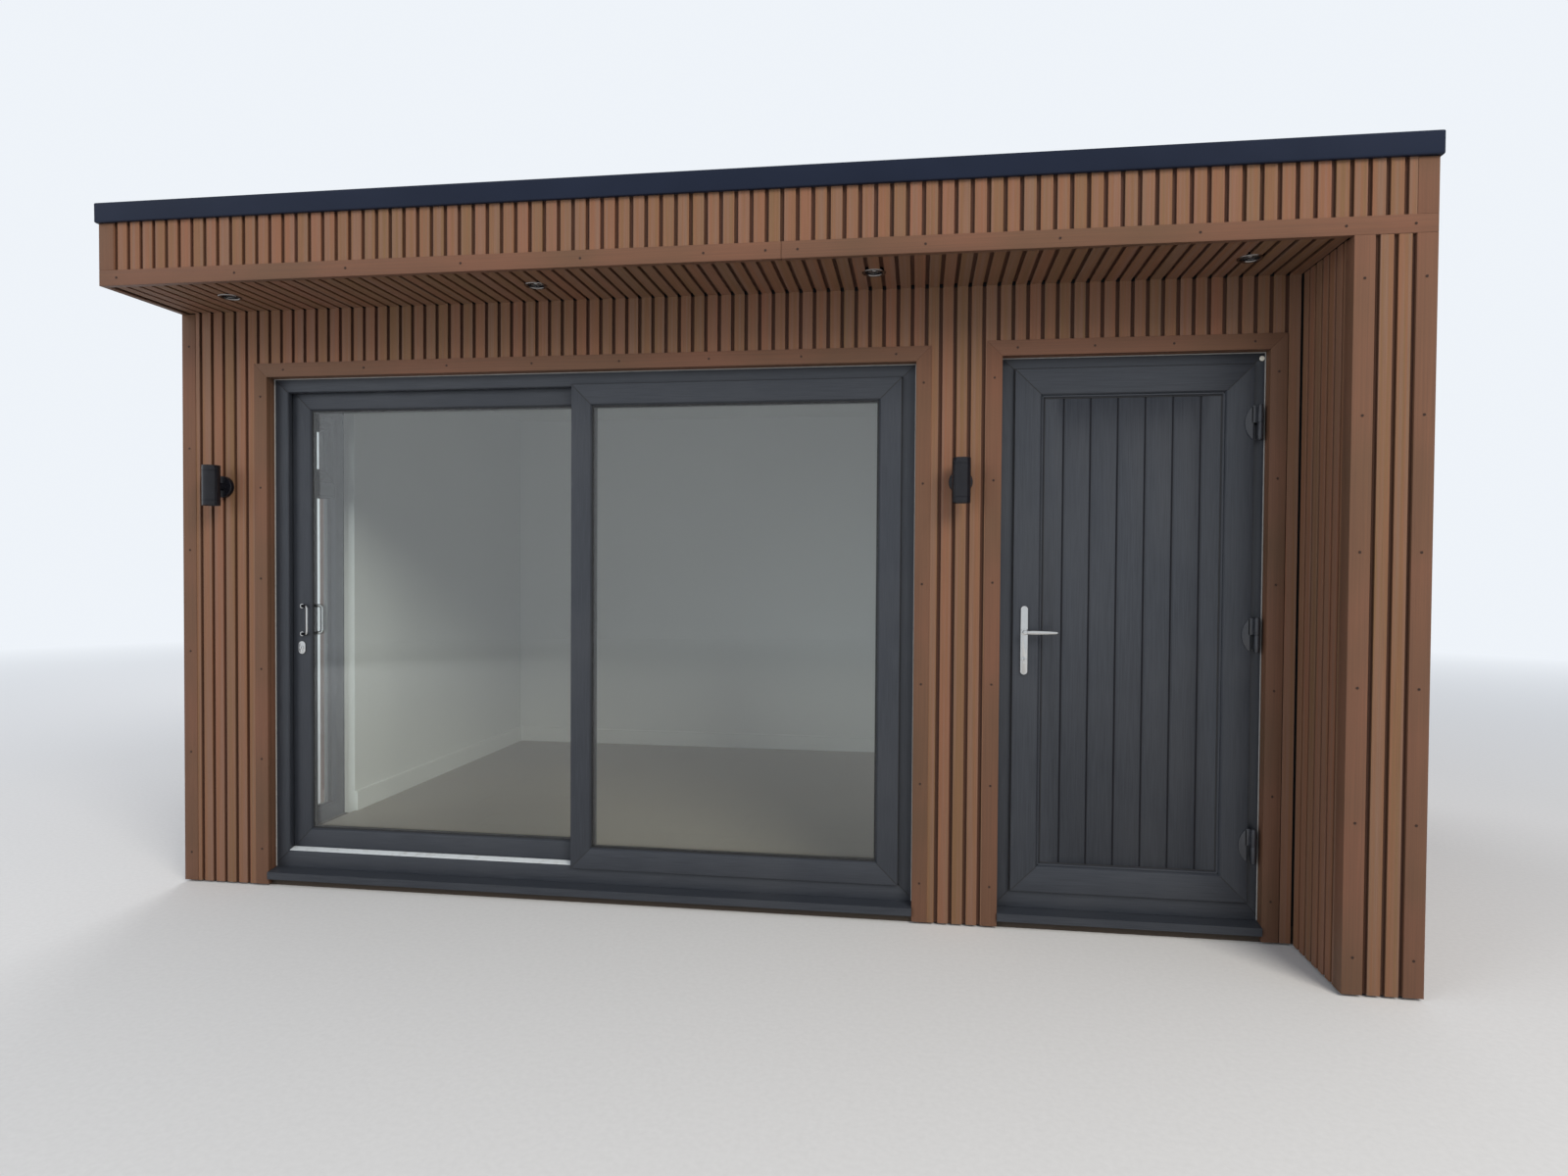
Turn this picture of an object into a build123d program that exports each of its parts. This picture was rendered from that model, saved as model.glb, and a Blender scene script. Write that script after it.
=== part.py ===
from build123d import *
import math
import os

# Insulated garden office with a flat roof, a canopy along its front and a
# full-height wing wall at the right. Lengths are in millimetres. The frame has
# +X to the right seen from the front, +Y from front to back and +Z up, with its
# origin on the ground under the middle of the roof.

# Body and roof
depth = 3000.0
canopy = 383.0
cladding_t = 22.0
wall_t = 174.0
wing_t = 225.0
deck_top = 60.0
skirt_gap = 8.0
head_over_doors = 234.0
roof_t = 200.0
edge_trim_h = 70.0
edge_trim_drop = 5.0
edge_trim_proud_front = 15.0
edge_trim_proud_side = 10.0
kerb_w = 55.0
kerb_chamfer = 5.0
membrane_t = 3.0
floor_finish_t = 12.0
ceiling_t = 12.0
skirting_h = 95.0
skirting_t = 15.0

# Boards of the cladding, with a groove where two boards meet; each joint_ value
# is the place of one such groove
board_w = 200.0
board_groove_w = 13.0
board_groove_depth = 11.0
joint_front_x = -171.5
joint_fascia_x = 14.5
joint_back_x = -14.5
joint_right_y = 14.0
joint_left_y = -14.0

# Trims of the cladding
corner_leg = 56.0
trim_proud = 2.0
fascia_trim_h = 55.0
fascia_trim_drop = 4.0
architrave_w = 54.0
architrave_lap = 13.0
architrave_return_t = 12.0
sill_low = 30.0
sill_nose = 10.0
sill_nose_top = 58.0
sill_nose_t = 9.0
sill_web = 10.0

# Frames that close the openings
frame_setback = 47.0
frame_bottom = 65.0
fit_gap = 4.0
glass_t = 24.0
glass_bite = 10.0
running_gap = 6.0

# Front wall from left to right: pier, sliding door, pier, store door, pier, wing
left_pier = 352.0
middle_pier = 274.0
right_pier = 84.0

# Sliding door
slide_w = 2554.0
slide_h = 1960.0
slide_frame_d = 107.0
slide_jamb = 70.0
slide_head = 67.0
slide_foot = 66.0
slide_channel = 10.0
slide_channel_drop = 16.0
sash_d = 42.0
sash_face = 80.0
sash_rail = 80.0
sash_lip = 6.0
sash_lip_t = 15.0
sash_overlap = 74.0
fixed_over_middle = 27.0
rail_w = 6.0
rail_top = 135.0
seat_gap = 0.3
bead_slope = 9.0

# Sliding door handles
pull_z = 1055.0
pull_grip = 112.0
pull_reach = 24.0
pull_side = 38.0
pull_bar_w = 13.0
pull_bar_t = 9.0
pull_base_r = 10.0
pull_base_t = 6.0
pull_inset = 41.0
scutcheon_w = 30.0
scutcheon_h = 52.0
scutcheon_t = 6.0
cylinder_r = 8.5
cylinder_proud = 3.0
cylinder_drop = 111.0

# Store door
store_w = 911.0
store_h = 1972.0
store_frame_d = 70.0
leaf_left = 61.0
leaf_right = 52.0
store_stop = 11.0
leaf_lip = 8.0
leaf_lip_t = 11.0
leaf_d = 66.0
leaf_clear = 5.0
leaf_face = 93.0
leaf_foot_up = 64.0
leaf_head_down = 55.0
panel_t = 28.0
panel_setback = 14.0
plank_pitch = 92.0
groove_w = 9.0
groove_depth = 4.0

# Hinges and lever of the store door
hinge_axis_out = 15.0
hinge_axis_front = 13.0
barrel_r = 9.0
hinge_pin_r = 4.0
pin_clearance = 0.05
pin_short = 2.0
hinge_h = 115.0
hinge_count = 3
hinge_end = 143.0
hinge_plate_t = 4.0
hinge_flag_w = 26.0
hinge_arm = 8.0
lever_z = 1054.0
lever_inset = 39.0
lever_plate_w = 28.0
lever_plate_h = 245.0
lever_plate_low = 152.0
lever_plate_t = 8.0
lever_neck_r = 8.0
lever_neck = 38.0
lever_grip_h = 17.0
lever_grip_t = 12.0
lever_tip_share = 0.65
lever_bevel = 2.5
lever_length = 108.0
lever_cylinder_drop = 96.0
spindle_r = 4.0

# Side window, in the left wall behind the front corner
window_from_front = 284.0
window_w = 592.0
window_frame_d = 70.0
window_face = 62.0
transom_h = 75.0
fanlight_h = 288.0
fanlight_face = 48.0
fanlight_t = 52.0

# Lights
left_light_in = 180.0
middle_light_in = 146.0
wall_light_r = 32.0
wall_light_h = 156.0
wall_light_z = 1582.0
wall_light_out = 78.0
wall_light_base_r = 42.0
wall_light_base_t = 18.0
wall_light_stem_r = 15.0
wall_light_shell = 3.0
wall_light_recess = 22.0
soffit_light_first = 360.0
soffit_light_last = 230.0
soffit_light_count = 4
soffit_light_r = 40.0
soffit_can_r = 33.0
soffit_light_t = 4.0
soffit_light_lip = 5.0
soffit_light_recess = 10.0
light_fit = 0.5

# Faces that the pieces share
width = left_pier + slide_w + middle_pier + store_w + right_pier + wing_t
soffit_z = frame_bottom + max(slide_h, store_h) + head_over_doors
x_left = -width / 2
x_right = width / 2
y_fascia = -(canopy + depth) / 2
y_front = y_fascia + canopy
y_back = y_front + depth
x_core_left = x_left + cladding_t
x_core_right = x_right - cladding_t
x_room_left = x_left + wall_t
x_room_right = x_right - wall_t
y_core_front = y_front + cladding_t
y_core_back = y_back - cladding_t
y_room_front = y_front + wall_t
y_room_back = y_back - wall_t
x_wing = x_right - wing_t
wall_top = soffit_z + cladding_t
roof_top = wall_top + roof_t
membrane_top = roof_top + membrane_t
fascia_trim_low = soffit_z - fascia_trim_drop
fascia_trim_top = fascia_trim_low + fascia_trim_h
y_frame = y_front + frame_setback

# Openings in the walls
slide_x1 = x_left + left_pier
slide_x2 = slide_x1 + slide_w
slide_top = frame_bottom + slide_h
store_x1 = slide_x2 + middle_pier
store_x2 = store_x1 + store_w
store_top = frame_bottom + store_h
window_y1 = y_front + window_from_front
window_y2 = window_y1 + window_w


def front_plane(y):
    """Upright plane at depth y, seen from the front: local x is X, local y is Z."""
    return Plane(origin=(0, y, 0), x_dir=(1, 0, 0), z_dir=(0, -1, 0))


def side_plane(x):
    """Upright plane at x: local x is Y, local y is Z, and the normal is +X."""
    return Plane(origin=(x, 0, 0), x_dir=(0, 1, 0), z_dir=(1, 0, 0))


def rectangle_between(a, b, mode=Mode.ADD):
    """Rectangle by two opposite corners, in the sketch that is open."""
    with Locations(((a[0] + b[0]) / 2, (a[1] + b[1]) / 2)):
        Rectangle(abs(b[0] - a[0]), abs(b[1] - a[1]), mode=mode)


def ring_between(a, b, side, foot, head):
    """Rectangular ring by its outer corners, in the sketch that is open."""
    rectangle_between(a, b)
    rectangle_between((a[0] + side, a[1] + foot), (b[0] - side, b[1] - head), Mode.SUBTRACT)


def board_grooves(a, b, joint):
    """Grooves where boards meet between two corners, in the sketch that is open,
    counted from the place of one joint."""
    first = math.ceil((a[0] + board_groove_w - joint) / board_w)
    last = math.floor((b[0] - board_groove_w - joint) / board_w)
    for i in range(first, last + 1):
        middle = joint + board_w * i
        rectangle_between(
            (middle - board_groove_w / 2, a[1]), (middle + board_groove_w / 2, b[1]))


def upright_block(x1, y1, x2, y2, low, high):
    """Plain slab or post that stands from one height to another."""
    with BuildPart() as block:
        with BuildSketch(Plane.XY.offset(low)):
            rectangle_between((x1, y1), (x2, y2))
        extrude(amount=high - low)
    return block.part


def write_part(name, part):
    """Label a finished piece and write it to its own file."""
    part.label = name
    export_step(part, f"parts/{name}.step")


os.makedirs("parts", exist_ok=True)

# Insulated floor on its bearers, with the laid floor inside the walls
write_part("floor_deck", upright_block(
    x_core_left, y_core_front, x_core_right, y_core_back, 0, deck_top))
write_part("floor_finish", upright_block(
    x_room_left, y_room_front, x_room_right, y_room_back, deck_top, deck_top + floor_finish_t))

# Wall cores: insulated panels with their inner lining
slide_gap_x1 = slide_x1 - fit_gap
slide_gap_x2 = slide_x2 + fit_gap
store_gap_x1 = store_x1 - fit_gap
store_gap_x2 = store_x2 + fit_gap
window_gap_y1 = window_y1 - fit_gap
window_gap_y2 = window_y2 + fit_gap
slide_gap_top = slide_top + fit_gap
store_gap_top = store_top + fit_gap

wall_cores = {
    "front_wall_left": (x_room_left, y_core_front, slide_gap_x1, y_room_front, deck_top),
    "front_wall_slide_head": (slide_gap_x1, y_core_front, slide_gap_x2, y_room_front, slide_gap_top),
    "front_wall_middle": (slide_gap_x2, y_core_front, store_gap_x1, y_room_front, deck_top),
    "front_wall_store_head": (store_gap_x1, y_core_front, store_gap_x2, y_room_front, store_gap_top),
    "front_wall_right": (store_gap_x2, y_core_front, x_room_right, y_room_front, deck_top),
    "left_wall_front": (x_core_left, y_core_front, x_room_left, window_gap_y1, deck_top),
    "left_wall_head": (x_core_left, window_gap_y1, x_room_left, window_gap_y2, slide_gap_top),
    "left_wall_back": (x_core_left, window_gap_y2, x_room_left, y_core_back, deck_top),
    "back_wall": (x_room_left, y_room_back, x_room_right, y_core_back, deck_top),
    "right_wall": (x_room_right, y_core_front, x_core_right, y_core_back, deck_top),
    "wing_wall": (x_wing + cladding_t, y_fascia + cladding_t, x_core_right, y_core_front, 0),
}
for name, (x1, y1, x2, y2, low) in wall_cores.items():
    write_part(name, upright_block(x1, y1, x2, y2, low, wall_top))

# Roof: insulated deck over walls and canopy, ceiling board, rubber membrane
write_part("roof_deck", upright_block(
    x_core_left, y_fascia + cladding_t, x_core_right, y_core_back, wall_top, roof_top))
write_part("ceiling", upright_block(
    x_room_left, y_room_front, x_room_right, y_room_back, wall_top - ceiling_t, wall_top))
write_part("roof_membrane", upright_block(
    x_left, y_fascia, x_right, y_back, roof_top, membrane_top))

# Raised black trim round the roof: a kerb on the membrane with a drip leg
# that comes down over the top of the cladding
trim_top = roof_top - edge_trim_drop + edge_trim_h
with BuildPart() as roof_edge_trim:
    with BuildSketch(Plane.XY.offset(roof_top - edge_trim_drop)):
        Rectangle(width + 2 * edge_trim_proud_side, depth + canopy + 2 * edge_trim_proud_front)
        Rectangle(width, depth + canopy, mode=Mode.SUBTRACT)
    extrude(amount=edge_trim_h)
    with BuildSketch(Plane.XY.offset(membrane_top)):
        Rectangle(width, depth + canopy)
        Rectangle(width - 2 * kerb_w, depth + canopy - 2 * kerb_w, mode=Mode.SUBTRACT)
    extrude(amount=trim_top - membrane_top)
    chamfer(roof_edge_trim.edges().group_by(Axis.Z)[-1], kerb_chamfer)
write_part("roof_edge_trim", roof_edge_trim.part)

# Cladding of the walls: upright boards side by side; the openings are cut to the
# outside of the architraves and run down to the skirt
slide_arch_x1 = slide_x1 + architrave_lap - architrave_w
slide_arch_x2 = slide_x2 - architrave_lap + architrave_w
slide_arch_top = slide_top - architrave_lap + architrave_w
store_arch_x1 = store_x1 + architrave_lap - architrave_w
store_arch_x2 = store_x2 - architrave_lap + architrave_w
store_arch_top = store_top - architrave_lap + architrave_w
window_arch_y1 = window_y1 + architrave_lap - architrave_w
window_arch_y2 = window_y2 - architrave_lap + architrave_w

with BuildPart() as cladding_front:
    with BuildSketch(front_plane(y_front)):
        rectangle_between((x_left + corner_leg, skirt_gap), (x_wing, soffit_z))
        rectangle_between((slide_arch_x1, skirt_gap), (slide_arch_x2, slide_arch_top), Mode.SUBTRACT)
        rectangle_between((store_arch_x1, skirt_gap), (store_arch_x2, store_arch_top), Mode.SUBTRACT)
    extrude(amount=-cladding_t)
    with BuildSketch(front_plane(y_front)):
        board_grooves((x_left + corner_leg, skirt_gap), (x_wing, soffit_z), joint_front_x)
    extrude(amount=-board_groove_depth, mode=Mode.SUBTRACT)
write_part("cladding_front", cladding_front.part)

with BuildPart() as cladding_left:
    with BuildSketch(side_plane(x_left)):
        rectangle_between((y_front + corner_leg, skirt_gap), (y_back - corner_leg, roof_top))
        rectangle_between((y_fascia + corner_leg, fascia_trim_top), (y_front + corner_leg, roof_top))
        rectangle_between((window_arch_y1, skirt_gap), (window_arch_y2, slide_arch_top), Mode.SUBTRACT)
    extrude(amount=cladding_t)
    with BuildSketch(side_plane(x_left)):
        board_grooves(
            (y_fascia + corner_leg, skirt_gap), (y_back - corner_leg, roof_top), joint_left_y)
    extrude(amount=board_groove_depth, mode=Mode.SUBTRACT)
write_part("cladding_left", cladding_left.part)

with BuildPart() as cladding_back:
    with BuildSketch(front_plane(y_back)):
        rectangle_between((x_left + corner_leg, skirt_gap), (x_right - corner_leg, roof_top))
    extrude(amount=cladding_t)
    with BuildSketch(front_plane(y_back)):
        board_grooves(
            (x_left + corner_leg, skirt_gap), (x_right - corner_leg, roof_top), joint_back_x)
    extrude(amount=board_groove_depth, mode=Mode.SUBTRACT)
write_part("cladding_back", cladding_back.part)

with BuildPart() as cladding_right:
    with BuildSketch(side_plane(x_right)):
        rectangle_between((y_fascia + corner_leg, skirt_gap), (y_back - corner_leg, roof_top))
    extrude(amount=-cladding_t)
    with BuildSketch(side_plane(x_right)):
        board_grooves(
            (y_fascia + corner_leg, skirt_gap), (y_back - corner_leg, roof_top), joint_right_y)
    extrude(amount=-board_groove_depth, mode=Mode.SUBTRACT)
write_part("cladding_right", cladding_right.part)

with BuildPart() as cladding_wing:
    with BuildSketch(Plane.XY.offset(skirt_gap)):
        rectangle_between((x_wing + corner_leg, y_fascia), (x_right - corner_leg, y_fascia + cladding_t))
    extrude(amount=fascia_trim_low - skirt_gap)
    with BuildSketch(Plane.XY.offset(skirt_gap)):
        rectangle_between((x_wing, y_fascia + corner_leg), (x_wing + cladding_t, y_front))
    extrude(amount=soffit_z - skirt_gap)
write_part("cladding_wing", cladding_wing.part)

with BuildPart() as cladding_fascia:
    with BuildSketch(front_plane(y_fascia)):
        rectangle_between((x_left + corner_leg, fascia_trim_top), (x_right - corner_leg, roof_top))
    extrude(amount=-cladding_t)
    with BuildSketch(front_plane(y_fascia)):
        board_grooves(
            (x_left + corner_leg, fascia_trim_top), (x_right - corner_leg, roof_top), joint_fascia_x)
    extrude(amount=-board_groove_depth, mode=Mode.SUBTRACT)
write_part("cladding_fascia", cladding_fascia.part)

# Slatted soffit of the canopy, bored for the recessed lights
y_soffit_light = (y_fascia + y_front) / 2
first_light_x = x_left + soffit_light_first
soffit_light_pitch = (x_wing - soffit_light_last - first_light_x) / (soffit_light_count - 1)
soffit_lights_at = [
    (first_light_x + soffit_light_pitch * i, y_soffit_light) for i in range(soffit_light_count)
]
with BuildPart() as soffit:
    with BuildSketch(Plane.XY.offset(soffit_z)):
        rectangle_between((x_core_left, y_fascia + cladding_t), (x_wing, y_front))
    extrude(amount=cladding_t)
    with BuildSketch(Plane.XY.offset(soffit_z)):
        with Locations(*soffit_lights_at):
            Circle(soffit_can_r + light_fit)
    extrude(amount=cladding_t, mode=Mode.SUBTRACT)
    with BuildSketch(Plane.XY.offset(soffit_z)):
        board_grooves((x_core_left, y_fascia + cladding_t), (x_wing, y_front), joint_front_x)
    extrude(amount=board_groove_depth, mode=Mode.SUBTRACT)
write_part("soffit", soffit.part)

# Trim along the foot of the fascia, returned along both ends of the canopy
with BuildPart() as fascia_trim:
    with BuildSketch(Plane.XY.offset(fascia_trim_low)):
        rectangle_between(
            (x_left - trim_proud, y_fascia - trim_proud), (x_right + trim_proud, y_fascia + cladding_t))
        rectangle_between((x_left - trim_proud, y_fascia), (x_core_left, y_front))
        rectangle_between((x_core_right, y_fascia), (x_right + trim_proud, y_fascia + corner_leg))
    extrude(amount=fascia_trim_h)
write_part("fascia_trim", fascia_trim.part)


def corner_sketch(x, y, toward_x, toward_y):
    """Angle section on an outer corner, with legs towards the wall faces."""
    tip = (x - toward_x * trim_proud, y - toward_y * trim_proud)
    leg_x = (x + toward_x * corner_leg, y + toward_y * cladding_t)
    leg_y = (x + toward_x * cladding_t, y + toward_y * corner_leg)
    rectangle_between(tip, leg_x)
    rectangle_between(tip, leg_y)


# Angle trims on the outer corners, from the skirt to the soffit or the roof
with BuildPart() as corner_trims:
    with BuildSketch(Plane.XY.offset(skirt_gap)):
        corner_sketch(x_left, y_front, 1, 1)
    extrude(amount=fascia_trim_low - skirt_gap)
    with BuildSketch(Plane.XY.offset(skirt_gap)):
        corner_sketch(x_left, y_back, 1, -1)
        corner_sketch(x_right, y_back, -1, -1)
    extrude(amount=roof_top - edge_trim_drop - skirt_gap)
    with BuildSketch(Plane.XY.offset(skirt_gap)):
        corner_sketch(x_wing, y_fascia, 1, 1)
        corner_sketch(x_right, y_fascia, -1, 1)
    extrude(amount=fascia_trim_low - skirt_gap)
    with BuildSketch(Plane.XY.offset(fascia_trim_top)):
        corner_sketch(x_left, y_fascia, 1, 1)
        corner_sketch(x_right, y_fascia, -1, 1)
    extrude(amount=roof_top - edge_trim_drop - fascia_trim_top)
write_part("corner_trims", corner_trims.part)

# Skirting round the room on the left, back and right walls
with BuildPart() as skirting:
    with BuildSketch(Plane.XY.offset(deck_top + floor_finish_t)):
        rectangle_between((x_room_left, window_gap_y2), (x_room_right, y_room_back))
        rectangle_between((x_room_right - skirting_t, y_room_front), (x_room_right, window_gap_y2))
        rectangle_between(
            (x_room_left + skirting_t, window_gap_y2),
            (x_room_right - skirting_t, y_room_back - skirting_t), Mode.SUBTRACT)
    extrude(amount=skirting_h)
write_part("skirting", skirting.part)


def architrave(plane, a, b, inward):
    """Trim round three sides of an opening: face boards down to the skirt, whose
    inner edge turns in against the frame. inward is +1 or -1 along the plane's
    normal."""
    foot = deck_top + seat_gap
    with BuildPart() as trim:
        with BuildSketch(plane.offset(-inward * trim_proud)):
            rectangle_between((a, skirt_gap), b)
            rectangle_between(
                (a + architrave_w, skirt_gap), (b[0] - architrave_w, b[1] - architrave_w),
                Mode.SUBTRACT)
        extrude(amount=inward * (trim_proud + cladding_t))
        with BuildSketch(plane):
            rectangle_between(
                (a + architrave_w - architrave_return_t, foot),
                (b[0] - architrave_w + architrave_return_t, b[1] - architrave_w + architrave_return_t))
            rectangle_between(
                (a + architrave_w, foot), (b[0] - architrave_w, b[1] - architrave_w), Mode.SUBTRACT)
        extrude(amount=inward * frame_setback)
    return trim.part


write_part("slide_architrave", architrave(
    front_plane(y_front), slide_arch_x1, (slide_arch_x2, slide_arch_top), -1))
write_part("store_architrave", architrave(
    front_plane(y_front), store_arch_x1, (store_arch_x2, store_arch_top), -1))
write_part("window_architrave", architrave(
    side_plane(x_left), window_arch_y1, (window_arch_y2, slide_arch_top), 1))


def sill(plane, frame_a, frame_b, frame_d):
    """Sill between the architrave's legs, with a sloping top and a nose with a
    drip, and a flat tongue under the frame. plane stands square to the sill's
    length, with local x inwards."""
    a = frame_a + architrave_lap
    b = frame_b - architrave_lap
    with BuildPart() as bar:
        with BuildSketch(plane.offset(a)):
            with BuildLine():
                Polyline(
                    (-sill_nose, sill_low), (-sill_nose, sill_nose_top),
                    (frame_setback, frame_bottom), (frame_setback, deck_top),
                    (cladding_t, deck_top), (cladding_t, sill_low + sill_web),
                    (sill_nose_t - sill_nose, sill_low + sill_web),
                    (sill_nose_t - sill_nose, sill_low), close=True)
            make_face()
        extrude(amount=b - a)
        with BuildSketch(plane.offset(frame_a)):
            rectangle_between((frame_setback, deck_top), (frame_setback + frame_d, frame_bottom))
        extrude(amount=frame_b - frame_a)
    return bar.part


front_section = Plane(origin=(0, y_front, 0), x_dir=(0, 1, 0), z_dir=(1, 0, 0))
left_section = Plane(origin=(x_left, 0, 0), x_dir=(1, 0, 0), z_dir=(0, -1, 0))
write_part("slide_sill", sill(front_section, slide_x1, slide_x2, slide_frame_d))
write_part("store_sill", sill(front_section, store_x1, store_x2, store_frame_d))
write_part("window_sill", sill(left_section, -window_y2, -window_y1, window_frame_d))

# Sliding door frame: outer ring with a channel inside for the sliding sash
slide_in_x1 = slide_x1 + slide_jamb
slide_in_x2 = slide_x2 - slide_jamb
slide_in_low = frame_bottom + slide_foot
slide_in_top = slide_top - slide_head
fixed_y = y_frame - sash_lip_t
sliding_y = fixed_y + sash_d + running_gap
channel_y1 = sliding_y - running_gap
channel_y2 = sliding_y + sash_d + running_gap
channel_low = slide_in_low - slide_channel_drop

with BuildPart() as slide_frame:
    with BuildSketch(front_plane(y_frame)):
        ring_between(
            (slide_x1, frame_bottom), (slide_x2, slide_top), slide_jamb, slide_foot, slide_head)
    extrude(amount=-slide_frame_d)
    with BuildSketch(front_plane(channel_y1)):
        rectangle_between(
            (slide_in_x1 - slide_channel, channel_low),
            (slide_in_x2 + slide_channel, slide_in_top + 2 * slide_channel))
    extrude(amount=channel_y1 - channel_y2, mode=Mode.SUBTRACT)
write_part("slide_frame", slide_frame.part)

# Aluminium rail that the sliding sash runs on
rail_y = sliding_y + sash_d / 2
write_part("slide_rail", upright_block(
    slide_in_x1 - slide_channel, rail_y - rail_w / 2, slide_in_x2 + slide_channel, rail_y + rail_w / 2,
    channel_low, rail_top))


def sash(a, b, y):
    """Glazed sash seen from the front: a ring with sloping beads on both faces,
    round the pocket that holds its glass unit."""
    sight_a = (a[0] + sash_face, a[1] + sash_rail)
    sight_b = (b[0] - sash_face, b[1] - sash_rail)
    with BuildPart() as ring:
        with BuildSketch(front_plane(y)):
            ring_between(a, b, sash_face, sash_rail, sash_rail)
        extrude(amount=-sash_d)
        faces = ring.faces().filter_by(Axis.Y).sort_by(Axis.Y)
        inner_wires = [faces[0].inner_wires()[0], faces[-1].inner_wires()[0]]
        chamfer([edge for wire in inner_wires for edge in wire.edges()], bead_slope)
        with BuildSketch(front_plane(y + (sash_d - glass_t) / 2)):
            rectangle_between(
                (sight_a[0] - glass_bite, sight_a[1] - glass_bite),
                (sight_b[0] + glass_bite, sight_b[1] + glass_bite))
        extrude(amount=-glass_t, mode=Mode.SUBTRACT)
    return ring


def glass_unit(a, b, y, t):
    """Sealed glass unit that fills the pocket of its sash."""
    with BuildPart() as unit:
        with BuildSketch(front_plane(y)):
            rectangle_between(a, b)
        extrude(amount=-t)
    return unit.part


# Fixed sash at the right, in the outer track: its lip laps the frame's face
fixed_a = ((slide_x1 + slide_x2) / 2 - fixed_over_middle, slide_in_low - sash_lip)
fixed_b = (slide_in_x2 + sash_lip, slide_in_top + sash_lip)
fixed_ring = sash(fixed_a, fixed_b, fixed_y)
with BuildPart() as fixed_sash:
    add(fixed_ring.part)
    with BuildSketch(front_plane(y_frame)):
        rectangle_between(fixed_a, fixed_b)
        rectangle_between(
            (fixed_a[0], slide_in_low), (slide_in_x2, slide_in_top), Mode.SUBTRACT)
    extrude(amount=-sash_d, mode=Mode.SUBTRACT)
write_part("fixed_sash", fixed_sash.part)
bite = sash_face - glass_bite
bite_rail = sash_rail - glass_bite
glass_inset = (sash_d - glass_t) / 2
write_part("fixed_glass", glass_unit(
    (fixed_a[0] + bite, fixed_a[1] + bite_rail), (fixed_b[0] - bite, fixed_b[1] - bite_rail),
    fixed_y + glass_inset, glass_t))

# Sliding sash at the left, in the inner track
sliding_a = (slide_in_x1 - slide_channel + running_gap, rail_top + seat_gap)
sliding_b = (fixed_a[0] + sash_overlap, slide_in_top + 2 * slide_channel - running_gap)
sliding_sash = sash(sliding_a, sliding_b, sliding_y)
write_part("sliding_sash", sliding_sash.part)
write_part("sliding_glass", glass_unit(
    (sliding_a[0] + bite, sliding_a[1] + bite_rail), (sliding_b[0] - bite, sliding_b[1] - bite_rail),
    sliding_y + glass_inset, glass_t))


def pull_handle(face_y, outward):
    """Bow pull on two round bases, cranked towards the glass, and the oval
    plate of the lock cylinder below it. outward is -1 on the outer face of the
    sash and +1 on the inner face."""
    base_x = sliding_a[0] + pull_inset
    base_face = face_y + outward * pull_base_t
    grip_x = base_x + pull_side
    grip_y = base_face + outward * pull_reach
    root_y = face_y + outward * pull_bar_t / 2
    low = pull_z - pull_grip / 2
    high = pull_z + pull_grip / 2
    with BuildPart() as handle:
        with BuildSketch(front_plane(face_y)):
            with Locations((base_x, low), (base_x, high)):
                Circle(pull_base_r)
        extrude(amount=-outward * pull_base_t)
        with BuildSketch(front_plane(face_y)):
            with Locations((base_x, pull_z - cylinder_drop)):
                SlotOverall(scutcheon_h, scutcheon_w, rotation=90)
        extrude(amount=-outward * scutcheon_t)
        with BuildSketch(front_plane(face_y + outward * scutcheon_t)):
            with Locations((base_x, pull_z - cylinder_drop)):
                Circle(cylinder_r)
        extrude(amount=-outward * cylinder_proud)
        with BuildLine() as bow:
            FilletPolyline(
                (base_x, root_y, low), (grip_x, grip_y, low),
                (grip_x, grip_y, high), (base_x, root_y, high), radius=pull_bar_w)
        with BuildSketch(Plane(origin=bow.line @ 0, x_dir=(0, 0, 1), z_dir=bow.line % 0)):
            Rectangle(pull_bar_w, pull_bar_t)
        sweep(path=bow.line)
    return handle.part


write_part("pull_outer", pull_handle(sliding_y, -1))
write_part("pull_inner", pull_handle(sliding_y + sash_d, 1))

# Store door frame: rebated ring, the leaf closes against its stop
leaf_x1 = store_x1 + leaf_left
leaf_x2 = store_x2 - leaf_right
leaf_foot = frame_bottom + leaf_foot_up
leaf_top = store_top - leaf_head_down
leaf_y = y_frame - leaf_clear - leaf_lip_t
stop_y = leaf_y + leaf_d + leaf_clear
store_in_x1 = leaf_x1 + leaf_lip
store_in_x2 = leaf_x2 - leaf_lip
store_in_low = leaf_foot + leaf_lip
store_in_top = leaf_top - leaf_lip

with BuildPart() as store_frame:
    with BuildSketch(front_plane(y_frame)):
        rectangle_between((store_x1, frame_bottom), (store_x2, store_top))
        rectangle_between((store_in_x1, store_in_low), (store_in_x2, store_in_top), Mode.SUBTRACT)
    extrude(amount=-store_frame_d)
    with BuildSketch(front_plane(stop_y)):
        rectangle_between((store_in_x1, store_in_low), (store_in_x2, store_in_top))
        rectangle_between(
            (store_in_x1 + store_stop, store_in_low + store_stop),
            (store_in_x2 - store_stop, store_in_top - store_stop), Mode.SUBTRACT)
    extrude(amount=stop_y - y_frame - store_frame_d)
write_part("store_frame", store_frame.part)

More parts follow.
